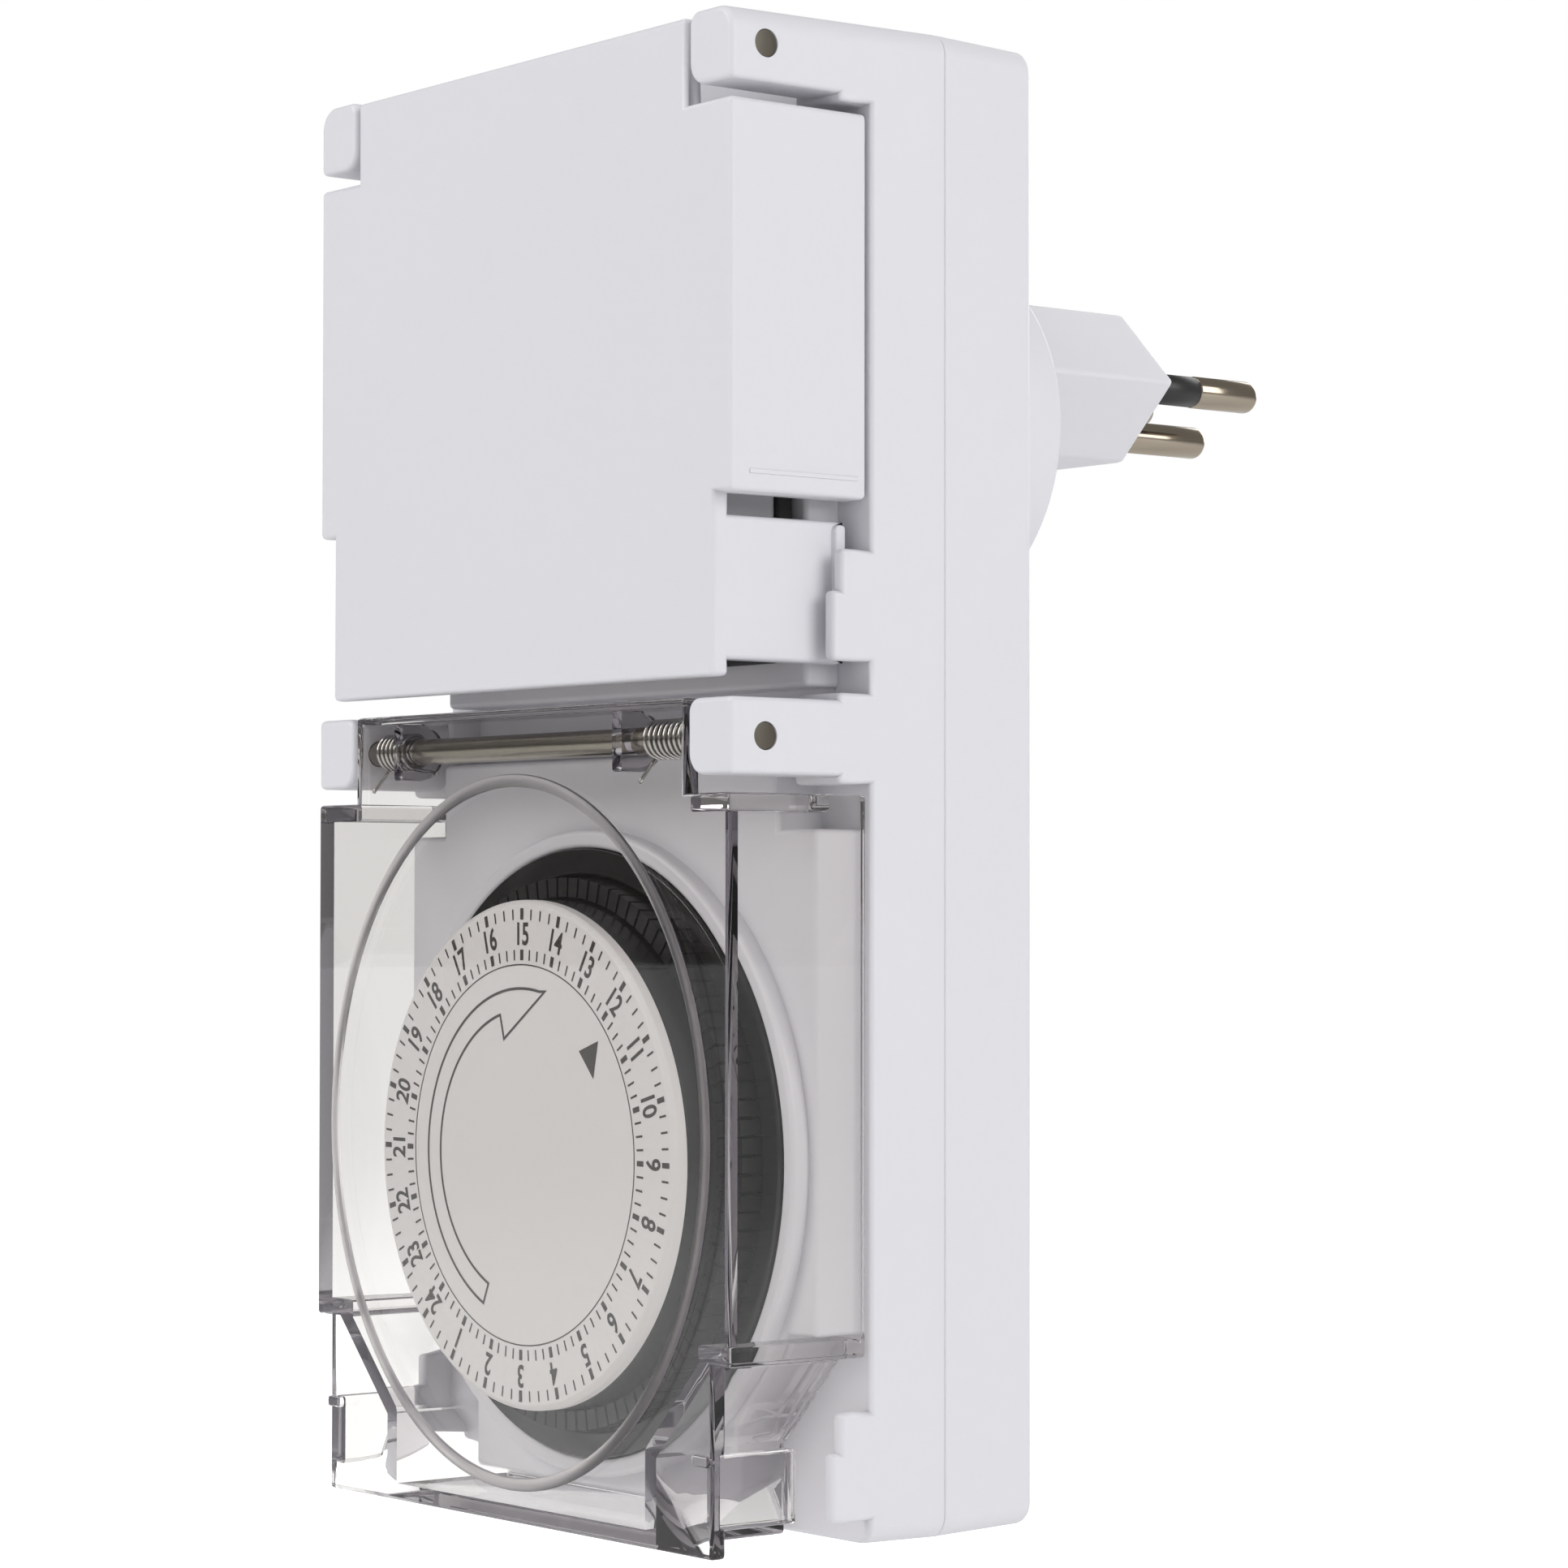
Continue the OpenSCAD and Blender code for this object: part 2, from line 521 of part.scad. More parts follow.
// front plate, wide below the lugs and narrow at the foot, with the knuckle roof between the lugs
module lid_plate(axis_z, top, low, foot, roof, wall) {
  slab(-lid_reach, wall - lid_reach) {
    translate([-barrel_half, top - eps]) square([2 * barrel_half, axis_z + roof - top + eps]);
    rounded(-lid_half, lid_half, low, top, 1.2);
    translate([-narrow_half, foot]) rounded(0, 2 * narrow_half, 0, low - foot + 4, 1.4);
  }
  box(-barrel_half, barrel_half, -lid_reach, hinge_y + 3.4, axis_z + roof - roof_wall, axis_z + roof);
}
module socket_lid() color("white") {
  w = socket_lid_wall;
  lid_plate(top_axis, socket_top, socket_low, socket_lid_foot, 3.5, w);
  both_sides() {
    box(lid_half - w, lid_half, -lid_reach, -lid_back_gap, socket_low, socket_top);
    box(barrel_half, lid_half, -lid_reach, -socket_deck_height - run, socket_top - w, socket_top);
    box(narrow_half - 1, lid_half, -lid_reach, -lid_back_gap, socket_low, socket_low + w - 0.4);
    // side tongue over the catch, with its snap rib
    box(narrow_half - w, narrow_half, -lid_reach, -1.4, 8.2, 23.8);
    box(narrow_half - w + 0.4, narrow_half + 0.8, -2.9, -1.5, 8.6, 23.4);
  }
  knuckle(-22, 18, top_axis);
  // frame that carries the seal
  difference() {
    slab(-lid_reach + eps, -socket_deck_height - seal_thickness - run) rounded(-seal_half, seal_half, 9, socket_top - 4, 3);
    slab(-lid_reach - 1, 0) rounded(rib - seal_half, seal_half - rib, 9 + rib, socket_top - 4 - rib, 2);
  }
}
module socket_lid_seal() color("dimgray") difference() {
  slab(-socket_deck_height - seal_thickness - run, -socket_deck_height - run) rounded(-seal_half - 0.5, seal_half + 0.5, 8.5, socket_top - 3.5, 3);
  slab(-lid_reach, 0) rounded(rib + 0.5 - seal_half, seal_half - rib - 0.5, 9.5 + rib, socket_top - 4.5 - rib, 2);
}
module oval(a, b) { polygon([for (i = [0 : 71]) [a * cos(5 * i), b * sin(5 * i)]]); }
module timer_lid() color([0.7, 0.7, 0.72, 0.4]) {
  w = timer_lid_wall;
  back = -lid_back_gap;
  lid_plate(0, timer_top, timer_low, -timer_lid_foot, 4.2, w);
  both_sides() {
    box(lid_half - w, lid_half, -lid_reach, back, timer_low, timer_top);
    box(barrel_half, lid_half, -lid_reach, -socket_deck_height - run, timer_top - w, timer_top);
    box(lid_half - 6.6, lid_half, -lid_reach, back, timer_low, timer_low + w);
    // inner wall: slants in below the wide part, then runs down to the foot
    slab(-lid_reach, back) polygon([[lid_half - 6.5, timer_low + w / 2], [lid_half - 6.5, timer_low], [timer_wall_in, timer_low - 10],
      [timer_wall_in, -timer_lid_foot], [timer_wall_in + w, -timer_lid_foot], [timer_wall_in + w, timer_low - 10.8],
      [lid_half - 3.8, timer_low], [lid_half - 3.8, timer_low + w / 2]]);
    // side tongue over the lower catch
    box(narrow_half - w, narrow_half, -lid_reach, -7.6, -timer_lid_foot + 3, -timer_lid_foot + 11);
    slab(-lid_reach - 0.5, -lid_reach + eps) translate([narrow_half - 3, -timer_lid_foot + 9.8]) square([3, 1.2]);
  }
  box(-timer_wall_in - eps, timer_wall_in + eps, -lid_reach, back, -timer_lid_foot, -timer_lid_foot + w - 0.2);
  knuckle(left_knuckle_x, left_knuckle_x + 1.8, 0);
  knuckle(right_spring_x - 4, right_spring_x - 2.2, 0);
  // moulded oval line round the dial window
  slab(-lid_reach - oval_depth, -lid_reach + eps) translate([0, -oval_drop]) difference() {
    oval(oval_half_width, oval_half_height);
    oval(oval_half_width - oval_line, oval_half_height - oval_line);
  }
}
module socket_spring_left() color("silver") hinge_spring(left_spring_x + 1, top_axis, left_curls);
module socket_spring_right() color("silver") hinge_spring(right_spring_x, top_axis, right_curls);
module timer_spring_left() color("silver") hinge_spring(left_spring_x, 0, left_curls);
module timer_spring_right() color("silver") hinge_spring(right_spring_x, 0, right_curls);

// ---- timer ----

module at_dial() { translate([0, 0, -dial_drop]) children(); }

module dial_face() color("whitesmoke") at_dial()
  translate([0, drum_front, 0]) rotate([90, 0, 0]) rotate_extrude()
    polygon([[0, 0], [dial_radius, 0], [dial_radius, dial_thickness - 0.5], [dial_radius - 0.6, dial_thickness], [0, dial_thickness]]);
module tappet_carrier() color("black") at_dial() difference() {
  union() {
    rod_y(tappet_inner - run, drum_front, flange_front + eps);
    rod_y(tappet_outer, flange_front, flange_back);
    rod_y(arbor_d / 2 + 2, flange_back - eps, dial_gear_back);
  }
  rod_y(arbor_d / 2 + hinge_run, drum_front + 1.2, dial_gear_back + 1);
}
module segment() {
  half_angle = 180 / tappet_count - 0.35;
  r0 = tappet_inner;
  r1 = tappet_outer;
  slab(flange_front - tappet_height, flange_front)
    polygon([[r0 * sin(-half_angle), r0 * cos(half_angle)], [r0 * sin(half_angle), r0 * cos(half_angle)],
      [r1 * sin(half_angle), r1 * cos(half_angle)], [r1 * sin(-half_angle), r1 * cos(half_angle)]]);
}
single_slot = 7;
module tappets() color("dimgray") at_dial() {
  for (i = [0 : tappet_count - 1]) if (i != single_slot) rotate([0, i * 360 / tappet_count, 0]) segment();
  // thin ring that joins the segments behind, open at the moving one
  difference() {
    rod_y(tappet_inner + 0.8, flange_front - 1, flange_front);
    rod_y(tappet_inner, flange_front - 2, flange_front + 1);
    rotate([0, single_slot * 360 / tappet_count, 0]) box(-1.1, 1.1, -20, 20, 0, 40);
  }
}
module tappet_single() color("dimgray") at_dial() rotate([0, single_slot * 360 / tappet_count, 0]) segment();
module dial_gear() color("ivory") at_dial() gear_y(dial_teeth, dial_module, flange_back, gear_width, arbor_d / 2 + 2 + fit, 0, 0, stage_angle);
module dial_arbor() color("silver") at_dial() rod_y(arbor_d / 2, drum_front + 2, base_back);
module timer_bezel() color("black") at_dial() difference() {
  rod_y(bezel_outer, -bezel_reach, base_front);
  rod_y(bezel_inner, -bezel_reach - 1, base_front + 1);
}
module timer_base() color("dimgray") difference() {
  union() {
    at_dial() rod_y(bezel_outer, base_front, base_back);
    // posts that hold the motor and the microswitch
    for (a = [90, 180, 330]) translate([motor_x + (motor_d / 2 - 2) * cos(a), 0, motor_z + (motor_d / 2 - 2) * sin(a)])
      rod_y(1.6, base_back - eps, motor_front);
    box(switch_x - 10, switch_x + 10, base_back - eps, switch_front, switch_z - 3, switch_z);
  }
  at_dial() rod_y(arbor_d / 2 + fit, base_front - 1, base_back + 1);
  rod_y(hub_r + hinge_run, base_front - 1, base_back + 1, stage_x, stage_z);
  // slot for the switch lever's nose
  box(switch_x - 2.4, switch_x + 2.4, base_front - 1, base_back + 1, switch_z + 9.3, switch_z + 12.3);
}
module stage_gear() color("ivory") {
  gear_y(pinion_teeth, dial_module, flange_back + run, gear_width - 0.2, 0, stage_x, stage_z, stage_angle + 180 + 180 / pinion_teeth);
  rod_y(hub_r, flange_back + run + 0.2, wheel_front + 0.2, stage_x, stage_z);
  gear_y(wheel_teeth, motor_module, wheel_front, gear_width, 0, stage_x, stage_z, motor_angle);
}
module motor() color("silver") difference() {
  rod_y(motor_d / 2, motor_front, motor_front + motor_depth, motor_x, motor_z);
  rod_y(shaft_r + hinge_run, motor_front - 1, motor_front + 3, motor_x, motor_z);
}
module motor_pinion() color("goldenrod") {
  gear_y(motor_teeth, motor_module, wheel_front, gear_width, 0, motor_x, motor_z, motor_angle + 180 + 180 / motor_teeth);
  rod_y(shaft_r, wheel_front + 0.2, motor_front + 2.6, motor_x, motor_z);
}
switch_front = 4;
module microswitch() color("black") {
  box(switch_x - 10, switch_x + 10, switch_front, switch_front + 5, switch_z - 3, switch_z + 6);
  // fulcrum of the lever
  box(switch_x - 1.6, switch_x + 1.6, switch_front - 0.55, switch_front + eps, switch_z + 0.2, switch_z + 1.6);
}
// spring leaf with a nose that reaches through the base to the segments
module switch_lever() color("silver") {
  box(switch_x - 1.6, switch_x + 1.6, switch_front - 1.1, switch_front - 0.6, switch_z + 0.6, switch_z + 11.5);
  box(switch_x - 1.2, switch_x + 1.2, flange_back + run, switch_front - 1, switch_z + 10, switch_z + 11.5);
}

// ---- screws ----

module case_screw(side, level) color("silver") translate([side * screw_x, 0, screw_z[level]]) {
  rod_y(screw_d / 2, shell_wall + 1.5, case_back - 1.8 + eps);
  rod_y(screw_head_d / 2, case_back - 1.8, case_back - 0.3);
}
module screw_top_left() { case_screw(-1, 0); }
module screw_top_right() { case_screw(1, 0); }
module screw_bottom_left() { case_screw(-1, 1); }
module screw_bottom_right() { case_screw(1, 1); }

seat() {
  front_shell();
  rear_shell();
  plug_body();
  pin_line();
  pin_neutral();
  pin_earth();
  sleeve_line();
  sleeve_neutral();
  socket_insert();
  contact_line();
  contact_neutral();
  contact_earth();
  strip_line_in();
  strip_line_out();
  strip_neutral();
  strip_earth();
  socket_hinge_pin();
  timer_hinge_pin();
  socket_lid();
  socket_lid_seal();
  timer_lid();
  socket_spring_left();
  socket_spring_right();
  timer_spring_left();
  timer_spring_right();
  dial_face();
  tappet_carrier();
  tappets();
  tappet_single();
  dial_gear();
  dial_arbor();
  timer_bezel();
  timer_base();
  stage_gear();
  motor();
  motor_pinion();
  microswitch();
  switch_lever();
  screw_top_left();
  screw_top_right();
  screw_bottom_left();
  screw_bottom_right();
}
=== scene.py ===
"""Outdoor plug-in day timer: how each piece looks, in the order in which it is put together."""
import json
import math

import bmesh
import bpy
import numpy as np
from mathutils import Matrix, Vector

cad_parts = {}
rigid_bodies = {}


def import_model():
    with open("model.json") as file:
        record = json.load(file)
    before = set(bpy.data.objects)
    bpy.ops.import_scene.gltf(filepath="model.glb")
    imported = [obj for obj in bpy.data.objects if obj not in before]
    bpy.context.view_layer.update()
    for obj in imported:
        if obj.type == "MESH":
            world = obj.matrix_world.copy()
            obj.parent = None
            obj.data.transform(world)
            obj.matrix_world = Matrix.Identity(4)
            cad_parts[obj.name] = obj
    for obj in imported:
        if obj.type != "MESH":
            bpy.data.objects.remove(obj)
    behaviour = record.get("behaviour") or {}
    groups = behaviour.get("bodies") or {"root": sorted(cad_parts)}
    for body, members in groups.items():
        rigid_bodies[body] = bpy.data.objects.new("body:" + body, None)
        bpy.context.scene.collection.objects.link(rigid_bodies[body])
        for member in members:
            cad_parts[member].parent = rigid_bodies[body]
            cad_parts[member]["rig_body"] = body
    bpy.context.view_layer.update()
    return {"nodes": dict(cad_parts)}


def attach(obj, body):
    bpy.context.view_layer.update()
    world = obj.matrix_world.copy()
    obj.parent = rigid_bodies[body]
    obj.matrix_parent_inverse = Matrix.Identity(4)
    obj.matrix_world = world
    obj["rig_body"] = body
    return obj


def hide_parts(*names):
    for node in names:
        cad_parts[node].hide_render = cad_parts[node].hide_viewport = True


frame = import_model()
mm = 0.001

# ---- Studio ----
# The timer is seen from its front right, a little from below, as it hangs in a wall socket.
# White backdrop and floor, three broad lamps and a pale sky that is darker where the clear lid mirrors it.
camera_place = Vector((404.44, -369.12, -65.32)) * mm
camera_azimuth, camera_elevation, camera_roll = (math.radians(a) for a in (51.62, -1.68, 0.06))
camera_data = bpy.data.cameras.new("camera")
camera_data.sensor_width = 36.0
camera_data.lens = 36.0 * 5346.9 / 1932
camera_data.clip_start, camera_data.clip_end = 0.01, 20
camera = bpy.data.objects.new("camera", camera_data)
bpy.context.scene.collection.objects.link(camera)
looking = Vector((-math.sin(camera_azimuth) * math.cos(camera_elevation),
                  math.cos(camera_azimuth) * math.cos(camera_elevation), -math.sin(camera_elevation)))
camera.location = camera_place
camera.rotation_euler = (looking.to_track_quat("-Z", "Y").to_matrix() @ Matrix.Rotation(camera_roll, 3, "Z")).to_euler()
bpy.context.scene.camera = camera
bpy.context.scene.view_settings.view_transform = "Standard"


def wire(tree, pairs):
    """Joins sockets: each pair is (output socket, input socket)."""
    for a, b in pairs:
        tree.links.new(a, b)


def math_node(tree, operation, a, b=0.0):
    """Output of a math node on one or two inputs, each an output socket or a number."""
    node = tree.nodes.new("ShaderNodeMath")
    node.operation = operation
    for k, value in enumerate((a, b)):
        if isinstance(value, float):
            node.inputs[k].default_value = value
        else:
            tree.links.new(value, node.inputs[k])
    return node.outputs[0]


def in_view(tree, rays):
    """1 for rays from the camera, straight or through the clear lid, with no mirror on the way."""
    through = math_node(tree, "MAXIMUM", rays.outputs["Is Camera Ray"], rays.outputs["Is Transmission Ray"])
    return math_node(tree, "MINIMUM", through, math_node(tree, "LESS_THAN", rays.outputs["Glossy Depth"], 0.5))


sky = bpy.data.worlds.new("sky")
bpy.context.scene.world = sky
sky.use_nodes = True
t = sky.node_tree
t.nodes.clear()
rays, place, facing, dimmed = (t.nodes.new(kind) for kind in ("ShaderNodeLightPath", "ShaderNodeTexCoord",
                               "ShaderNodeVectorMath", "ShaderNodeMapRange"))
facing.operation = "DOT_PRODUCT"
# the dark part of the room is where the lids' front sends the camera's view: mirrored at the plane of the front
facing.inputs[1].default_value = (-math.sin(camera_azimuth), -math.cos(camera_azimuth), 0.0)
for key, value in zip(("From Min", "From Max", "To Min", "To Max"), (0.45, 0.93, 0.27, 0.07)):
    dimmed.inputs[key].default_value = value
ambient, shown, white = (t.nodes.new("ShaderNodeBackground") for _ in range(3))
no_gloss, no_view = (t.nodes.new("ShaderNodeMixShader") for _ in range(2))
out = t.nodes.new("ShaderNodeOutputWorld")
ambient.inputs["Color"].default_value, ambient.inputs["Strength"].default_value = (0.97, 0.98, 1.0, 1), 0.57
shown.inputs["Color"].default_value, white.inputs["Color"].default_value = (1, 0.99, 0.97, 1), (1, 1, 1, 1)
white.inputs["Strength"].default_value = 1.0
wire(t, [(place.outputs["Generated"], facing.inputs[0]), (facing.outputs["Value"], dimmed.inputs["Value"]),
         (dimmed.outputs["Result"], shown.inputs["Strength"]),
         (math_node(t, "MAXIMUM", rays.outputs["Is Glossy Ray"], rays.outputs["Is Transmission Ray"]), no_gloss.inputs[0]),
         (ambient.outputs[0], no_gloss.inputs[1]), (shown.outputs[0], no_gloss.inputs[2]),
         (in_view(t, rays), no_view.inputs[0]), (no_gloss.outputs[0], no_view.inputs[1]), (white.outputs[0], no_view.inputs[2]),
         (no_view.outputs[0], out.inputs["Surface"])])


def lamp(name, place, size, power):
    """A square lamp of that size in metres and power in watts, turned to the middle of the timer."""
    data = bpy.data.lights.new(name, "AREA")
    data.shape, data.size, data.energy = "SQUARE", size, power
    thing = bpy.data.objects.new(name, data)
    bpy.context.scene.collection.objects.link(thing)
    thing.location = place
    thing.rotation_euler = (Vector((0, -0.06, -0.05)) - Vector(place)).to_track_quat("-Z", "Y").to_euler()


lamp_size = 0.8
lamp("lamp_front", (-0.55, -1.15, 0.75), lamp_size, 9.0)
lamp("lamp_side", (1.25, 0.10, 0.45), lamp_size, 7.0)
lamp("lamp_back", (-0.4, 1.2, 0.5), lamp_size, 5.0)


def bare_material(name):
    """An empty node material: (material, tree, its principled shader)."""
    m = bpy.data.materials.new(name)
    m.use_nodes = True
    return m, m.node_tree, m.node_tree.nodes["Principled BSDF"]


floor_material, t, shader = bare_material("floor_paint")
shader.inputs["Base Color"].default_value = (0.86, 0.86, 0.86, 1)
shader.inputs["Roughness"].default_value = 0.9
rays = t.nodes.new("ShaderNodeLightPath")
glow, dark, lit, total = (t.nodes.new("ShaderNodeEmission"), t.nodes.new("ShaderNodeEmission"),
                          t.nodes.new("ShaderNodeMixShader"), t.nodes.new("ShaderNodeAddShader"))
glow.inputs["Strength"].default_value, dark.inputs["Strength"].default_value = 0.60, 0.0
wire(t, [(in_view(t, rays), lit.inputs[0]), (dark.outputs[0], lit.inputs[1]), (glow.outputs[0], lit.inputs[2]),
         (shader.outputs[0], total.inputs[0]), (lit.outputs[0], total.inputs[1]),
         (total.outputs[0], t.nodes["Material Output"].inputs["Surface"])])


def grid_mesh(name, points, around=False, closed=False):
    """Mesh of a grid of points[i, j]: one face between neighbours i, i+1 and j, j+1.
    around joins the last column to the first, closed the last row to the first."""
    rows, columns = points.shape[:2]
    i = np.arange(rows if closed else rows - 1)[:, None]
    j = np.arange(columns if around else columns - 1)[None, :]
    a = i * columns + j
    b = i * columns + (j + 1) % columns
    c = (i + 1) % rows * columns + (j + 1) % columns
    d = (i + 1) % rows * columns + j
    mesh = bpy.data.meshes.new(name)
    mesh.from_pydata(points.reshape(-1, 3).tolist(), [], np.stack([a, b, c, d], -1).reshape(-1, 4).tolist())
    mesh.update()
    return mesh


def show(name, mesh, material=None, body=None, replaces=(), smooth=True, weld=True):
    """Puts a mesh on show: doubled points merged and faces turned outwards, then its material, body and nodes."""
    if weld:
        bm = bmesh.new()
        bm.from_mesh(mesh)
        bmesh.ops.remove_doubles(bm, verts=bm.verts, dist=1e-7)
        bmesh.ops.dissolve_degenerate(bm, edges=bm.edges, dist=1e-8)
        bmesh.ops.recalc_face_normals(bm, faces=bm.faces)
        bm.to_mesh(mesh)
        bm.free()
    mesh.polygons.foreach_set("use_smooth", np.full(len(mesh.polygons), smooth))
    mesh.update()
    thing = bpy.data.objects.new(name, mesh)
    bpy.context.scene.collection.objects.link(thing)
    if material:
        mesh.materials.append(material)
    if body:
        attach(thing, body)
    if replaces:
        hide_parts(*replaces)
    return thing


floor_half, floor_z = 9.0, -0.21
u = np.linspace(-floor_half, floor_half, 13)
floor_points = np.stack(np.broadcast_arrays(u[:, None], u[None, :], floor_z), -1)
floor = show("floor", grid_mesh("floor", floor_points), floor_material, weld=False)
if floor.data.polygons[0].normal.z < 0:
    floor.data.flip_normals()

# ---- Case: front and rear shell ----
# Two injection-moulded trays of white plastic with a fine matt grain, screwed together from the back. Their sides are
# drafted both ways from the seam; the hinge lugs, catches, decks and the dial's round collar are moulded on the front tray.
# modelling place: y = 0 on the lids' parting plane, z = 0 on the timer lid's hinge, in mm
part_offset = np.array([0, 69.0, 46.6])
hinge_y, upper_z, lower_z = -83.5, 27.7, -46.6
seam = 10.4


def placed(p):
    """From the modelling place in mm to the part's frame in metres."""
    return (p - part_offset) * mm


def inset(y):
    """How far the outer walls stand in at y: 0.8 degrees of draft from the seam to the lugs' front, 1.6 to the back."""
    return np.where(y > seam, 0.028 * (y - seam), 0.0135 * (seam - y))


def drafted(x, y, z):
    """Moves points of the outer walls in by inset(y): x where it is past 38.3, z where it is past the corners' start."""
    end = (z > 75.9) | (z < -84.8)
    side = np.abs(x) > 38.3
    return np.stack([x - np.where(side, np.sign(x) * inset(y), 0), y, z - np.where(end, np.sign(z) * inset(y), 0)], -1)


def rounded(x0, x1, z0, z1, radii, steps=7):
    """Rectangle with quarter rounds of radii (at x1 z1, x0 z1, x0 z0, x1 z0): corner = centre + r (cos a, sin a)."""
    a = np.linspace(0, np.pi / 2, steps)
    out = []
    for k, (x, z, r) in enumerate(zip((x1, x0, x0, x1), (z1, z1, z0, z0), radii)):
        sx, sz = (1, -1, -1, 1)[k], (1, 1, -1, -1)[k]
        turn = a + k * np.pi / 2 if r else a[:1] * 0
        arc = np.stack([x - sx * r + r * np.cos(turn), z - sz * r + r * np.sin(turn)], -1)
        out.append(arc if r else np.array([[x, z]], float))
    return np.concatenate(out)


def loft(rings):
    """Closed solid through rings of equal length, flat at both ends: faces between ring i and i + 1, and the two end rings."""
    n = len(rings[0])
    j, i = np.arange(n), np.arange(len(rings) - 1)[:, None]
    sides = np.stack([i * n + j, i * n + (j + 1) % n, (i + 1) * n + (j + 1) % n, (i + 1) * n + j], -1).reshape(-1, 4)
    mesh = bpy.data.meshes.new("loft")
    ends = [j[::-1].tolist(), (j + (len(rings) - 1) * n).tolist()]
    mesh.from_pydata(placed(np.concatenate(rings)).tolist(), [], [*sides.tolist(), *ends])
    bm = bmesh.new()
    bm.from_mesh(mesh)
    bmesh.ops.recalc_face_normals(bm, faces=bm.faces)
    bm.to_mesh(mesh)
    bm.free()
    return mesh


def straight(x, y, z):
    """Leaves points where they are."""
    return np.stack([x, y, z], -1)


def slab(outline, y0, y1, deep=0.0, move=drafted):
    """Outline in x and z pushed along y from y0 to y1 and drafted by move; deep shrinks the ring at y1, inside the case."""
    outline = np.array(outline, float)
    middle = (outline.min(0) + outline.max(0)) / 2
    ys = [y0, 0.0, y1] if y0 < 0 < y1 and deep else [y0, y1]
    rings = []
    for y in ys:
        o = outline - deep * np.sign(outline - middle) if y == y1 and deep else outline
        rings.append((straight if deep and y > 0 else move)(o[:, 0], np.full(len(o), float(y)), o[:, 1]))
    return loft(rings)


def block_of(x0, x1, y0, y1, z0, z1):
    """Plain block between two corners."""
    return slab([[x0, z0], [x1, z0], [x1, z1], [x0, z1]], y0, y1, move=straight)


def rod(radius, x, z, y0, y1, along_x=False, sides=96):
    """Round bar: (x + r cos a, y, z + r sin a) along y, or the same about the x direction with x, z read as y, z."""
    a = np.linspace(0, 2 * np.pi, sides, endpoint=False)
    rings = [np.stack(np.broadcast_arrays(x + radius * np.cos(a), y, z + radius * np.sin(a)), -1) for y in (y0, y1)]
    return loft([ring[:, [1, 0, 2]] for ring in rings] if along_x else rings)


def combined(name, base, added, removed):
    """Base with all the added solids joined and all the removed ones cut away."""
    def thing_of(mesh):
        thing = bpy.data.objects.new(name, mesh)
        bpy.context.scene.collection.objects.link(thing)
        return thing
    body = thing_of(base)
    tools = []
    for operation, meshes in (("UNION", added), ("DIFFERENCE", removed)):
        for mesh in meshes:
            tools.append(thing_of(mesh))
            cut = body.modifiers.new("join", "BOOLEAN")
            cut.object, cut.operation, cut.solver = tools[-1], operation, "EXACT"
    mesh = bpy.data.meshes.new_from_object(body.evaluated_get(bpy.context.evaluated_depsgraph_get()))
    for thing in [body, *tools]:
        bpy.data.objects.remove(thing)
    return mesh


def softened(name, mesh, material, slot, radius, body=None, replaces=(), segments=3, share=None):
    """Mesh as moulded: flat faces joined, and every outer edge over angle degrees rounded to radius mm times
    share(middle of the edge in mm), or less where a face beside it is narrow. Edges that stay, and those under
    crease degrees, part two flats."""
    flat, crease, angle = 0.1, 2.0, 30
    bm = bmesh.new()
    bm.from_mesh(mesh)
    bmesh.ops.remove_doubles(bm, verts=bm.verts, dist=3e-6)
    bmesh.ops.dissolve_degenerate(bm, edges=bm.edges, dist=3e-6)
    bmesh.ops.dissolve_limit(bm, angle_limit=math.radians(flat), use_dissolve_boundaries=False,
                             verts=bm.verts, edges=bm.edges)
    bm.normal_update()
    weight = bm.edges.layers.float.new("bevel_weight_edge")
    for edge in bm.edges:
        turn = math.degrees(edge.calc_face_angle(0)) if len(edge.link_faces) == 2 else 0
        edge.smooth = crease < turn < angle
        if turn < angle or not edge.is_convex:
            continue
        start, along = edge.verts[0].co, (edge.verts[1].co - edge.verts[0].co).normalized()
        room = min(max(((v.co - start) - (v.co - start).dot(along) * along).length for v in face.verts)
                   for face in edge.link_faces)
        wanted = share((edge.verts[0].co + edge.verts[1].co) / 2 / mm) if share else 1.0
        edge[weight] = max(min(wanted, 0.42 * room / (radius * mm)), 0.0)
        edge.smooth = edge[weight] > 0.01
    bm.to_mesh(mesh)
    bm.free()
    thing = show(name, mesh, material, body, replaces, weld=False)
    soften = thing.modifiers.new("soft_edges", "BEVEL")
    soften.width, soften.segments, soften.limit_method = radius * mm, segments, "WEIGHT"
    soften.use_clamp_overlap = False
    level = thing.modifiers.new("flat_faces", "WEIGHTED_NORMAL")
    level.keep_sharp, level.weight = True, 100
    return thing


def moulded(node, name, material, slot, radius, move=None, **finish):
    """The CAD node as moulded: a copy of its triangles, moved by move(x, y, z in mm of the modelling place), then softened."""
    source = frame["nodes"][node]
    p = np.empty(len(source.data.vertices) * 3)
    source.data.vertices.foreach_get("co", p)
    p = p.reshape(-1, 3)
    if move:
        q = p / mm + part_offset
        p = placed(move(q[:, 0], q[:, 1], q[:, 2]))
    faces = np.empty(len(source.data.polygons) * 3, int)
    source.data.polygons.foreach_get("vertices", faces)
    mesh = bpy.data.meshes.new(name)
    mesh.from_pydata(p.tolist(), [], faces.reshape(-1, 3).tolist())
    return softened(name, mesh, material, slot, radius, body=source["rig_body"], replaces=[node], **finish)


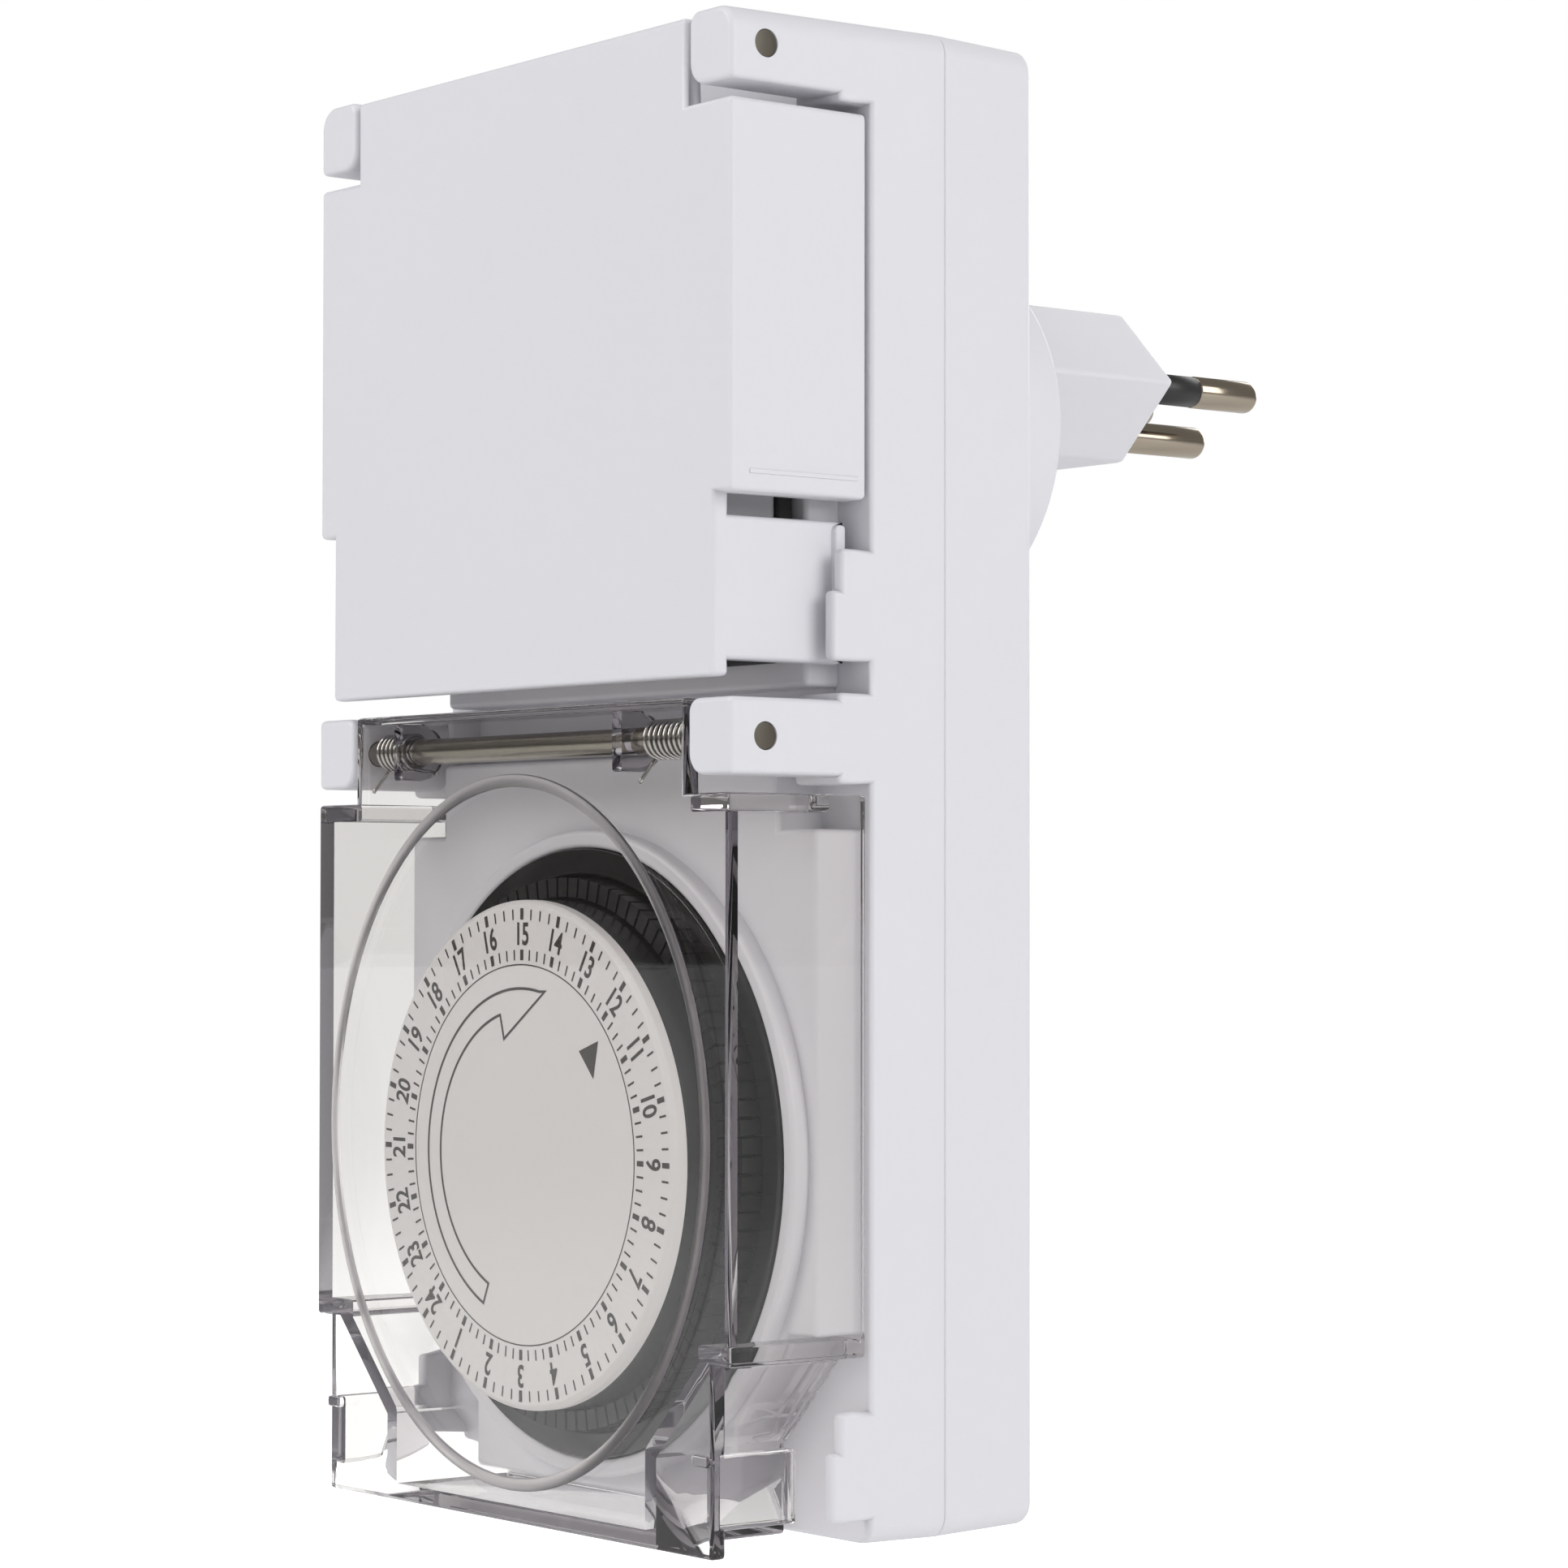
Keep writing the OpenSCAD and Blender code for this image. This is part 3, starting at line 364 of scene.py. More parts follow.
def grained_plastic(name, colour, second, roughness, grain, depth):
    """Moulded plastic: colour drifts to second over some centimetres, with a fine grain of size grain mm and depth mm."""
    m, t, shader = bare_material(name)
    shader.inputs["Roughness"].default_value = roughness
    shader.inputs["IOR"].default_value = 1.5
    place, drift, mix = t.nodes.new("ShaderNodeTexCoord"), t.nodes.new("ShaderNodeTexNoise"), t.nodes.new("ShaderNodeMix")
    mix.data_type = "RGBA"
    drift.inputs["Scale"].default_value, drift.inputs["Detail"].default_value = 28.0, 2.0
    mix.inputs["A"].default_value, mix.inputs["B"].default_value = (*colour, 1), (*second, 1)
    skin, bump = t.nodes.new("ShaderNodeTexNoise"), t.nodes.new("ShaderNodeBump")
    skin.inputs["Scale"].default_value, skin.inputs["Detail"].default_value = 1000.0 / grain, 2.0
    bump.inputs["Distance"].default_value, bump.inputs["Strength"].default_value = depth * mm, 1.0
    wire(t, [(place.outputs["Object"], drift.inputs["Vector"]), (drift.outputs["Fac"], mix.inputs["Factor"]),
             (mix.outputs["Result"], shader.inputs["Base Color"]), (place.outputs["Object"], skin.inputs["Vector"]),
             (skin.outputs["Fac"], bump.inputs["Height"]), (bump.outputs["Normal"], shader.inputs["Normal"])])
    return m


white_plastic = grained_plastic("white_plastic", (0.74, 0.735, 0.765), (0.72, 0.715, 0.745), 0.42, 0.35, 0.010)
case_x, case_top, case_foot, case_round, wall = 41.0, 78.6, -87.5, 2.6, 2.2
upper_hinge, dial_centre, socket_centre = 74.3, -46.3, 44.1
hinge_depth, hinge_hole, hole_half = -14.5, 1.55, 45
block = slab(rounded(-case_x, case_x, case_foot, case_top, [case_round] * 4), 0, seam)
socket_deck = np.array([[-37.95, 66.05], [37.95, 66.05], [37.95, 28.25], [34.95, 28.25],
                        [34.95, 5.8], [-34.95, 5.8], [-34.95, 28.25], [-37.95, 28.25]])
half_deck = np.array([[31.4, -1.2], [31.4, -9.8], [38.15, -9.8], [38.15, -64.7], [32.95, -64.7],
                      [24.05, -75.7], [24.05, -84.5]])
timer_deck = np.concatenate([half_deck, half_deck[::-1] * [-1, 1]])
joined_on = [slab(socket_deck, -4.4, 1), slab(timer_deck, -6.2, 1), rod(36.9, 0, dial_centre, -8.3, 1, sides=128)]
for side in (1, -1):
    for z0, z1, top_round in ((upper_hinge - 4.15, case_top, case_round), (-4.15, 4.15, 0)):
        lug_outline = rounded(33.0, case_x, z0, z1, [top_round, 1.5, 2.4, 0])
        joined_on.append(slab(lug_outline * [side, 1], -19.2, 1, deep=0.6))
    for z0, z1 in ((upper_hinge - 4.95, 75.7), (-4.95, 4.95)):
        joined_on.append(slab(rounded(32.7, case_x, z0, z1, [0] * 4) * [side, 1], -4.4, 1, deep=0.6))
    for z0, z1, z2 in ((8.4, 16.0, 20.6), (-84.6, -77.1, -72.8)):
        joined_on.append(slab(rounded(39.2, case_x, z0, z1, [0] * 4) * [side, 1], -5.3, 1, deep=0.4))
        joined_on.append(slab(rounded(39.2, case_x, z0 + 1, z2, [0] * 4) * [side, 1], -4.1, 1, deep=0.4))
inside = slab(rounded(wall - case_x, case_x - wall, case_foot + wall, case_top - wall, [case_round - 1] * 4), wall, 12)
cut_away = [inside, slab(socket_deck * [0.94, 0.93] + [0, 2.5], -2.2, wall + 0.5),
            slab(timer_deck * [0.94, 0.94] - [0, 2.8], -4.0, wall + 0.5),
            rod(34.8, 0, dial_centre, -20, 20, sides=128), rod(19.05, 0, socket_centre, -20, 20, sides=128)]


def pin_hole(z):
    """Solid of the hinge pin's hole at height z of the modelling place."""
    return rod(hinge_hole, hinge_depth, z, -hole_half, hole_half, along_x=True, sides=40)


def at_pin_hole(m, z):
    """Whether the point m, in mm of the part's frame, lies at the rim of the hinge pin's hole at height z."""
    return abs(m.y - hinge_y) < 1.8 and abs(m.z - z) < 1.8


def front_share(m):
    """Full rounding outside, less at the seam, none at the hinge holes and on edges inside the case."""
    if m.y > -59.5:
        return 0.38
    if m.y > -67.5 or at_pin_hole(m, upper_z) or at_pin_hole(m, lower_z):
        return 0.0
    return 1.0


cut_away += [pin_hole(z) for z in (upper_hinge, 0)]


softened("case_front", combined("case_front", block, joined_on, cut_away), white_plastic, "white_case", 0.65,
         body="housing", replaces=["front_shell"], share=front_share)
moulded("rear_shell", "case_rear", white_plastic, "white_case", 0.9, move=drafted, segments=4,
        share=lambda m: 0.27 if m.y < -57.5 else 1.0)

# ---- Plug ----
# White plug body in one piece with its round neck, pushed through the rear shell from inside; nickel-plated
# brass pins with rounded tips, the two live ones sleeved in black for half their length.
moulded("plug_body", "plug", white_plastic, "white_case", 0.6)


def lathed(name, profile, x, z, sides=48):
    """Surface turned about the axis through (x, z) along Y: point = (x + r sin a, y, z + r cos a), (r, y) in mm
    from the profile."""
    a = np.linspace(0, 2 * np.pi, sides, endpoint=False)
    r, y = np.array(profile, float).T * mm
    r = r[:, None]
    points = np.stack(np.broadcast_arrays(x * mm + r * np.sin(a), y[:, None], z * mm + r * np.cos(a)), -1)
    return grid_mesh(name, points, around=True)


def rounded_end(radius, end, corner, steps=8):
    """Quarter-round from the side of a rod to its end face: (r, y) = (radius - c + c cos a, end - c + c sin a)."""
    a = np.linspace(0, np.pi / 2, steps)
    return [(radius - corner + corner * math.cos(v), end - corner + corner * math.sin(v)) for v in a] + [(0, end)]


def metal(name, colour, roughness, brushed=0.0, along="Y"):
    """Bare or plated metal: roughness drifts with fine drawn lines along one axis."""
    m, t, shader = bare_material(name)
    shader.inputs["Base Color"].default_value = (*colour, 1)
    shader.inputs["Metallic"].default_value = 1.0
    place, stretch, lines = (t.nodes.new(kind) for kind in ("ShaderNodeTexCoord", "ShaderNodeMapping",
                                                            "ShaderNodeTexNoise"))
    stretch.inputs["Scale"].default_value = [60.0 if axis == along else 2600.0 for axis in "XYZ"]
    lines.inputs["Scale"].default_value, lines.inputs["Detail"].default_value = 1.0, 3.0
    spread, bump = t.nodes.new("ShaderNodeMapRange"), t.nodes.new("ShaderNodeBump")
    spread.inputs["To Min"].default_value, spread.inputs["To Max"].default_value = roughness * 0.75, roughness * 1.3
    bump.inputs["Distance"].default_value, bump.inputs["Strength"].default_value = 0.004 * mm, brushed
    wire(t, [(place.outputs["Object"], stretch.inputs["Vector"]), (stretch.outputs[0], lines.inputs["Vector"]),
             (lines.outputs["Fac"], spread.inputs["Value"]), (spread.outputs["Result"], shader.inputs["Roughness"]),
             (lines.outputs["Fac"], bump.inputs["Height"]), (bump.outputs["Normal"], shader.inputs["Normal"])])
    return m


nickel = metal("nickel_plate", (0.40, 0.345, 0.275), 0.17, 0.35)
pin_start, pin_end, sleeve_end, pin_radius = -48.2, 19.0, 9.0, 2.0
shank = [(0, pin_start), (1.65, pin_start), (1.65, 0.0)]
tip = rounded_end(pin_radius, pin_end, 0.9)
under_sleeve = [(1.5, 0.02), (1.5, sleeve_end), (1.85, sleeve_end + 0.02), (pin_radius, sleeve_end + 0.2)]
for side, x in (("line", 9.5), ("neutral", -9.5)):
    show(f"pin_{side}_plated", lathed("pin", shank + under_sleeve + tip, x, 0), nickel, "housing",
         [f"pin_{side}"])
show("pin_earth_plated", lathed("pin", shank + [(pin_radius, 0.02)] + tip, 0, -5.0), nickel, "housing",
     ["pin_earth"])

black_sleeve = grained_plastic("black_sleeve", (0.018, 0.018, 0.018), (0.026, 0.025, 0.024), 0.4, 0.25, 0.004)
sleeve_profile = [(1.51, 0.0), (1.92, 0.0), (1.92, sleeve_end - 0.15), (1.85, sleeve_end - 0.02), (1.51, sleeve_end),
                  (1.51, 0.0)]
for side, x in (("line", 9.5), ("neutral", -9.5)):
    show(f"sleeve_{side}_black", lathed("sleeve", sleeve_profile, x, 0), black_sleeve, "housing",
         [f"sleeve_{side}"])

# ---- Socket behind the white lid ----
# Round insert of white plastic with the recess for a hexagonal plug, brass contact tubes and conductors.
insert_plastic = grained_plastic("insert_plastic", (0.72, 0.71, 0.72), (0.70, 0.69, 0.70), 0.35, 0.5, 0.004)
moulded("socket_insert", "socket_face", insert_plastic, "white_insert", 0.3)
brass = metal("bare_brass", (0.70, 0.50, 0.20), 0.26, 0.3)


def dress(node, material):
    """Gives a CAD node its material."""
    data = frame["nodes"][node].data
    data.materials.clear()
    data.materials.append(material)


for node in ("contact_line", "contact_neutral", "contact_earth", "strip_line_in", "strip_line_out", "strip_neutral",
             "strip_earth"):
    dress(node, brass)

# ---- White socket lid and its seal ----
# Moulded in the same white plastic as the case, open at the back, with a frame that presses a rubber ring on the deck.
reach, lid_x, narrow_x, barrel_x, back = 19.2, 40.5, 37.5, 32.4, -0.4


def lid_outline(roof, top, low, foot):
    """Front of a lid: knuckle roof between the lugs, wide part from top to low, narrow part down to the foot."""
    side = np.array([[barrel_x, roof], [barrel_x, top], [lid_x, top], [lid_x, low], [narrow_x, low], [narrow_x, foot]])
    return np.concatenate([side, side[::-1] * [-1, 1]])


def knuckle(x0, x1, z):
    """Solid round the hinge pin between x0 and x1, joined to the lid's front."""
    r = 3.4
    return [rod(r, hinge_depth, z, x0, x1, along_x=True, sides=64),
            block_of(x0, x1, -reach + 0.2, hinge_depth, z - r, z + r)]


def both_sides(x0, x1, *rest):
    """The same block at the right and, mirrored, at the left."""
    return [block_of(x0, x1, *rest), block_of(-x1, -x0, *rest)]


lid_wall, top, low, foot, seal_x = 2.2, 68.25, 26.05, 6.4, 32.55
pieces = [block_of(-barrel_x, barrel_x, -reach, -11.1, upper_hinge + 2.6, upper_hinge + 3.5), *knuckle(-22, 18, upper_hinge),
          *both_sides(lid_x - lid_wall, lid_x, -reach, back, low, top),
          *both_sides(barrel_x, lid_x, -reach, -4.75, top - lid_wall, top),
          *both_sides(narrow_x - 1, lid_x, -reach, back, low, low + 1.8),
          *both_sides(narrow_x - lid_wall, narrow_x, -reach, -1.4, 8.2, 23.8),
          *both_sides(narrow_x - 1.8, narrow_x + 0.8, -2.9, -1.5, 8.6, 23.4),
          *both_sides(lid_x - 0.5, lid_x + 0.12, -16.6, -1.6, 28.0, 28.5)]
frame_bars = [block_of(-seal_x, seal_x, -reach + 0.5, -6.75, z, z + 1.8) for z in (9.0, 62.45)]
frame_bars += both_sides(seal_x - 1.8, seal_x, -reach + 0.5, -6.75, 9.0, 64.25)
plate = slab(lid_outline(upper_hinge + 3.5, top, low, foot), -reach, lid_wall - reach, move=straight)
softened("lid_white", combined("lid_white", plate, pieces + frame_bars, [pin_hole(upper_hinge)]),
         white_plastic, "white_lid", 0.6, body="socket_cover", replaces=["socket_lid"],
         share=lambda m: 0.0 if at_pin_hole(m, upper_z) else 1.0)
seal_rubber = grained_plastic("seal_rubber", (0.03, 0.03, 0.03), (0.04, 0.04, 0.04), 0.7, 0.4, 0.01)
moulded("socket_lid_seal", "seal", seal_rubber, "seal_rubber", 0.4)

# ---- Hinge pins and springs ----
# Drawn steel pins pressed through the lugs, and torsion springs of bright steel wire wound round them.
steel = metal("drawn_steel", (0.42, 0.39, 0.33), 0.22, 0.5, along="X")
bright_wire = metal("spring_wire", (0.72, 0.71, 0.68), 0.14, 0.2)


def rod_x(name, radius, x0, x1, y, z, corner=0.25, sides=48):
    """Rod along X with rounded ends: point = (x, y + r cos a, z + r sin a)."""
    a = np.linspace(0, 2 * np.pi, sides, endpoint=False)
    turn = np.linspace(0, np.pi / 2, 6)
    core = radius - corner
    r = np.concatenate([[0], core + corner * np.sin(turn), core + corner * np.cos(turn), [0]])[:, None] * mm
    x = np.concatenate([[x0], x0 + corner - corner * np.cos(turn), x1 - corner + corner * np.sin(turn), [x1]]) * mm
    points = np.stack(np.broadcast_arrays(x[:, None], y * mm + r * np.cos(a), z * mm + r * np.sin(a)), -1)
    return grid_mesh(name, points, around=True)


cut_steel = metal("cut_steel", (0.16, 0.145, 0.12), 0.42, 0.6, along="Z")
pin_half = 40.33
for which, z in (("socket", upper_z), ("timer", lower_z)):
    show(f"{which}_pin_steel", rod_x("hinge_pin", 1.5, -pin_half, pin_half, hinge_y, z, corner=0.02), steel, "housing",
         [f"{which}_hinge_pin"])
    for side, x0 in (("left", -pin_half - 0.2), ("right", pin_half)):
        show(f"{which}_pin_cut_{side}", rod_x("cut_end", 1.5, x0, x0 + 0.2, hinge_y, z, corner=0.09), cut_steel,
             "housing")


def tube_along(name, path, radius, sides=12):
    """Round wire: a circle carried along the path, P + r (cos a n + sin a b), n and b square to its tangent."""
    path = np.array(path, float)
    tangent = np.gradient(path, axis=0)
    tangent /= np.linalg.norm(tangent, axis=1)[:, None]
    n = np.cross(tangent, np.array([1.0, 0.02, 0.01]))
    n /= np.linalg.norm(n, axis=1)[:, None]
    b = np.cross(tangent, n)
    a = np.linspace(0, 2 * np.pi, sides, endpoint=False)
    r = np.concatenate([[0], np.full(len(path), radius), [0]])
    idx = np.concatenate([[0], np.arange(len(path)), [len(path) - 1]])
    circle = np.cos(a)[None, :, None] * n[idx, None] + np.sin(a)[None, :, None] * b[idx, None]
    points = path[idx, None] + r[:, None, None] * circle
    return grid_mesh(name, points * mm, around=True)


wire_radius, coil_radius, pitch = 0.22, 2.05, 0.9
for which, z in (("socket", upper_z), ("timer", lower_z)):
    for side, start, curls in (("left", -31.1, 6), ("right", 22.06, 10)):
        a = np.linspace(0, curls, curls * 28 + 1)
        x = start + 2 * wire_radius + pitch * a
        angle = -np.pi / 2 + 2 * np.pi * a
        coil = np.stack([x, hinge_y + coil_radius * np.cos(angle), z + coil_radius * np.sin(angle)], -1)
        s = np.linspace(0, 1, 9)[:, None]
        leg_in = np.array([[x[0], hinge_y - 2.2, z - coil_radius - 2.6]]) * (1 - s[:-1]) + coil[0] * s[:-1]
        leg_out = coil[-1] * (1 - s[1:]) + np.array([[x[-1], hinge_y + 3.4, z - coil_radius - 0.4]]) * s[1:]
        path = np.concatenate([leg_in, coil, leg_out])
        show(f"{which}_coil_{side}", tube_along("coil", path, wire_radius), bright_wire, "housing",
             [f"{which}_spring_{side}"])

# ---- Clear timer lid ----
# One moulding of clear polycarbonate with a faint smoky tint; its cut edges and corners look dark and bluish.
clear, t, shader = bare_material("smoky_clear")
# the raised oval on the lid's front is matt, and its band is also painted a darker grey-brown as painted shade for how
# dark the clear bead looks: a band of that oval, in the lid's own place
oval_x, oval_z, oval_middle = 36.45, 39.65, -43.6
apart = t.nodes.new("ShaderNodeSeparateXYZ")
wire(t, [(t.nodes.new("ShaderNodeTexCoord").outputs["Object"], apart.inputs[0])])
across, up = (math_node(t, "MULTIPLY", math_node(t, "ADD", apart.outputs[axis], shift), 1000 / half)
              for axis, shift, half in (("X", 0.0, oval_x), ("Z", 0.0902, oval_z)))
squares = math_node(t, "ADD", math_node(t, "MULTIPLY", across, across), math_node(t, "MULTIPLY", up, up))
off_oval = math_node(t, "ABSOLUTE", math_node(t, "ADD", math_node(t, "SQRT", squares), -1.0))
matt_band_with_painted_shade = math_node(t, "MULTIPLY", math_node(t, "LESS_THAN", off_oval, 0.0205),
                 math_node(t, "LESS_THAN", apart.outputs["Y"], -0.08822))
# painted shade: on the oval's band the lid's colour turns from its smoky tint to a darker grey-brown; the matt
# roughness below is real
tint = t.nodes.new("ShaderNodeMix")
tint.data_type = "RGBA"
tint.inputs["A"].default_value, tint.inputs["B"].default_value = (0.965, 0.958, 0.943, 1), (0.60, 0.565, 0.555, 1)
wire(t, [(matt_band_with_painted_shade, tint.inputs["Factor"]), (tint.outputs["Result"], shader.inputs["Base Color"])])
# fine scratches: noise drawn out in one slanting direction
place, stretch, hairs, faint = (t.nodes.new(kind) for kind in ("ShaderNodeTexCoord", "ShaderNodeMapping",
                                                               "ShaderNodeTexNoise", "ShaderNodeMapRange"))
stretch.inputs["Rotation"].default_value, stretch.inputs["Scale"].default_value = (0.3, 0.7, 0.2), (40.0, 40.0, 1500.0)
hairs.inputs["Scale"].default_value, hairs.inputs["Detail"].default_value = 1.0, 2.0
faint.inputs["From Min"].default_value, faint.inputs["From Max"].default_value = 0.62, 0.80
faint.inputs["To Min"].default_value, faint.inputs["To Max"].default_value = 0.015, 0.09
wire(t, [(place.outputs["Object"], stretch.inputs["Vector"]), (stretch.outputs[0], hairs.inputs["Vector"]),
         (hairs.outputs["Fac"], faint.inputs["Value"]),
         (math_node(t, "ADD", faint.outputs["Result"], math_node(t, "MULTIPLY", matt_band_with_painted_shade, 0.45)), shader.inputs["Roughness"])])
shader.inputs["IOR"].default_value = 1.49
shader.inputs["Transmission Weight"].default_value = 1.0
rays, passing, mixed, caught, lighting, straight_on = (t.nodes.new(kind) for kind in (
    "ShaderNodeLightPath", "ShaderNodeBsdfTransparent", "ShaderNodeMixShader", *["ShaderNodeMath"] * 3))
caught.operation, lighting.operation, straight_on.operation = "GREATER_THAN", "MAXIMUM", "MAXIMUM"
caught.inputs[1].default_value = 4.5
pale = t.nodes.new("ShaderNodeMix")
pale.data_type = "RGBA"
pale.inputs["A"].default_value, pale.inputs["B"].default_value = (0.985, 0.975, 0.97, 1), (0.74, 0.725, 0.75, 1)
wire(t, [(caught.outputs[0], pale.inputs["Factor"]), (pale.outputs["Result"], passing.inputs["Color"])])
# light reaches the dial straight through the lid, and so do rays that are caught inside its walls
wire(t, [(rays.outputs["Is Shadow Ray"], lighting.inputs[0]), (rays.outputs["Is Diffuse Ray"], lighting.inputs[1]),
         (rays.outputs["Ray Depth"], caught.inputs[0]), (lighting.outputs[0], straight_on.inputs[0]),
         (caught.outputs[0], straight_on.inputs[1]), (straight_on.outputs[0], mixed.inputs[0]),
         (shader.outputs[0], mixed.inputs[1]), (passing.outputs[0], mixed.inputs[2]),
         (mixed.outputs[0], t.nodes["Material Output"].inputs["Surface"])])
depth = t.nodes.new("ShaderNodeVolumeAbsorption")
depth.inputs["Color"].default_value, depth.inputs["Density"].default_value = (0.34, 0.30, 0.31, 1), 42.0
wire(t, [(depth.outputs[0], t.nodes["Material Output"].inputs["Volume"])])


def bead(half_x, half_z, middle_z, width, height, y, around=144, across=7):
    """Oval half-round ridge standing on the plane y: (a + s) cos u, (b + s) sin u, with s and the height on a half ellipse."""
    u = np.linspace(0, 2 * np.pi, around, endpoint=False)[:, None]
    v = np.linspace(0, np.pi, across)[None, :]
    s, rise = width / 2 * np.cos(v), height * np.sin(v)
    ridge = np.stack([(half_x + s) * np.cos(u), y - rise + 0 * u, middle_z + (half_z + s) * np.sin(u)], -1)
    root = ridge[:, [-1, 0]] + [0, 0.4, 0]
    mesh = grid_mesh("bead", placed(np.concatenate([ridge, root], 1)), around=True, closed=True)
    bm = bmesh.new()
    bm.from_mesh(mesh)
    bmesh.ops.recalc_face_normals(bm, faces=bm.faces)
    bm.to_mesh(mesh)
    bm.free()
    return mesh


lid_wall, top, low, foot, foot_x = 2.0, -6.05, -67.05, -87.6, 24.4
inner = np.array([[34.0, low + 1], [34.0, low], [foot_x, low - 10], [foot_x, foot], [foot_x + lid_wall, foot],
                  [foot_x + lid_wall, low - 10.8], [36.7, low], [36.7, low + 1]])
pieces = [block_of(-barrel_x, barrel_x, -reach, -11.1, 3.3, 4.2), *knuckle(-25.46, -23.66, 0), *knuckle(18.06, 19.86, 0),
          *both_sides(lid_x - lid_wall, lid_x, -reach, back, low, top),
          *both_sides(barrel_x, lid_x, -reach, -4.75, top - lid_wall, top),
          *both_sides(lid_x - 6.6, lid_x, -reach, back, low, low + lid_wall), slab(inner, -reach, back, move=straight),
          slab(inner * [-1, 1], -reach, back, move=straight),
          block_of(-foot_x - 0.01, foot_x + 0.01, -reach, back, foot, foot + 1.8),
          *both_sides(narrow_x - lid_wall, narrow_x, -reach, -7.6, foot + 3, foot + 11),
          *both_sides(narrow_x - 3, narrow_x, -reach - 0.5, -reach + 0.2, foot + 9.8, foot + 11),
          bead(oval_x, oval_z, oval_middle, 1.5, 0.5, -reach)]


def clear_share(m):
    """No rounding on the bead and at the hinge pin's holes."""
    on_bead = m.y < -88.15 and abs(((m.x / oval_x) ** 2 + ((m.z + 90.2) / oval_z) ** 2) ** 0.5 - 1) < 0.03
    return 0.0 if on_bead or at_pin_hole(m, lower_z) else 1.0


plate = slab(lid_outline(4.2, top, low, foot), -reach, lid_wall - reach, move=straight)
softened("lid_clear", combined("lid_clear", plate, pieces, [pin_hole(0)]),
         clear, "clear_lid", 0.45, body="timer_cover", replaces=["timer_lid"], share=clear_share)

# ---- Dial ----
# White plastic disc printed in dark grey: 24 hours counted backwards round it, quarter-hour strokes inside and
# outside the numbers, an outlined arrow for the way it turns and a solid pointer.
dial_z, face_y = -92.9, -85.6
dial_plastic = grained_plastic("dial_plastic", (0.80, 0.785, 0.77), (0.785, 0.77, 0.755), 0.5, 0.5, 0.004)
moulded("dial_face", "dial_disc", dial_plastic, "dial_white", 0.15)
ink, t, shader = bare_material("dial_ink")
shader.inputs["Roughness"].default_value = 0.55
place, cover, tone = t.nodes.new("ShaderNodeTexCoord"), t.nodes.new("ShaderNodeTexNoise"), t.nodes.new("ShaderNodeMix")
tone.data_type = "RGBA"
cover.inputs["Scale"].default_value, cover.inputs["Detail"].default_value = 1800.0, 2.0
tone.inputs["A"].default_value, tone.inputs["B"].default_value = (0.040, 0.034, 0.031, 1), (0.062, 0.054, 0.050, 1)
wire(t, [(place.outputs["Object"], cover.inputs["Vector"]), (cover.outputs["Fac"], tone.inputs["Factor"]),
         (tone.outputs["Result"], shader.inputs["Base Color"])])
print_y = (face_y - 0.03) * mm


def on_dial(r, turn):
    """Point on the dial face, r mm from its middle and turn degrees clockwise from the top."""
    a = np.radians(turn)
    return np.stack(np.broadcast_arrays(r * np.sin(a) * mm, print_y, (dial_z + r * np.cos(a)) * mm), -1)


def line_on_dial(points, width, closed=False):
    """Ribbon of that width in mm along points (x, z) in mm from the dial's middle: P +- w/2 n, n square to the
    line and mitred."""
    p = np.array(points, float)
    after, before = np.roll(p, -1, 0) - p, p - np.roll(p, 1, 0)
    if not closed:
        after[-1], before[0] = before[-1], after[0]
    after /= np.linalg.norm(after, axis=1)[:, None]
    before /= np.linalg.norm(before, axis=1)[:, None]
    n = np.stack([-(after + before)[:, 1], (after + before)[:, 0]], -1)
    n /= np.linalg.norm(n, axis=1)[:, None]
    stretch = 1 / np.maximum(np.abs((n * np.stack([-after[:, 1], after[:, 0]], -1)).sum(1)), 0.35)
    sides = np.array([-0.5, 0.5])[None, :, None]
    edges = p[:, None] + sides * (width * stretch)[:, None, None] * n[:, None]
    flat = np.stack([edges[..., 0] * mm, np.full(edges.shape[:2], print_y), (dial_z + edges[..., 1]) * mm], -1)
    return grid_mesh("line", flat, closed=closed)


def joined(name, meshes):
    """One mesh of several."""
    bm = bmesh.new()
    for mesh in meshes:
        bm.from_mesh(mesh)
    mesh = bpy.data.meshes.new(name)
    bm.to_mesh(mesh)
    bm.free()
    return mesh


def facing_front(mesh):
    """Turns every face of a flat print towards the reader."""
    bm = bmesh.new()
    bm.from_mesh(mesh)
    bm.normal_update()
    bmesh.ops.reverse_faces(bm, faces=[f for f in bm.faces if f.normal.y > 0])
    bm.to_mesh(mesh)
    bm.free()
    return mesh


strokes = []
for quarter in range(96):
    hour = quarter % 4 == 0
    half_width, turn = (0.30 if hour else 0.12), quarter * 3.75
    for inner, outer in ((22.0, 23.2), (26.6, 27.9 if hour else 27.8)):
        spread, ends = np.degrees(half_width / inner), np.array([inner, outer])
        edges = [on_dial(ends, turn - spread), on_dial(ends, turn + spread * inner / outer)]
        strokes.append(grid_mesh("stroke", np.stack(edges)))
ring = np.radians(np.arange(0, 360, 2.5))
strokes.append(line_on_dial(21.5 * np.stack([np.sin(ring), np.cos(ring)], -1), 0.15, closed=True))
outer_arc, inner_arc = np.radians(np.linspace(-156.7, 10.5, 60)), np.radians(np.linspace(-15.2, -156.7, 50))
arrow = np.concatenate([18.8 * np.stack([np.sin(outer_arc), np.cos(outer_arc)], -1), [[4.5, 18.5], [-3.5, 13.0]],
                        16.3 * np.stack([np.sin(inner_arc), np.cos(inner_arc)], -1)])
strokes.append(line_on_dial(arrow, 0.32, closed=True))
pointer = np.array([[11.1, 12.0], [14.75, 13.2], [13.85, 8.95]])
middle = pointer.mean(0)
grown = [middle * (1 - s) + pointer * s for s in (0.001, 1.0)]
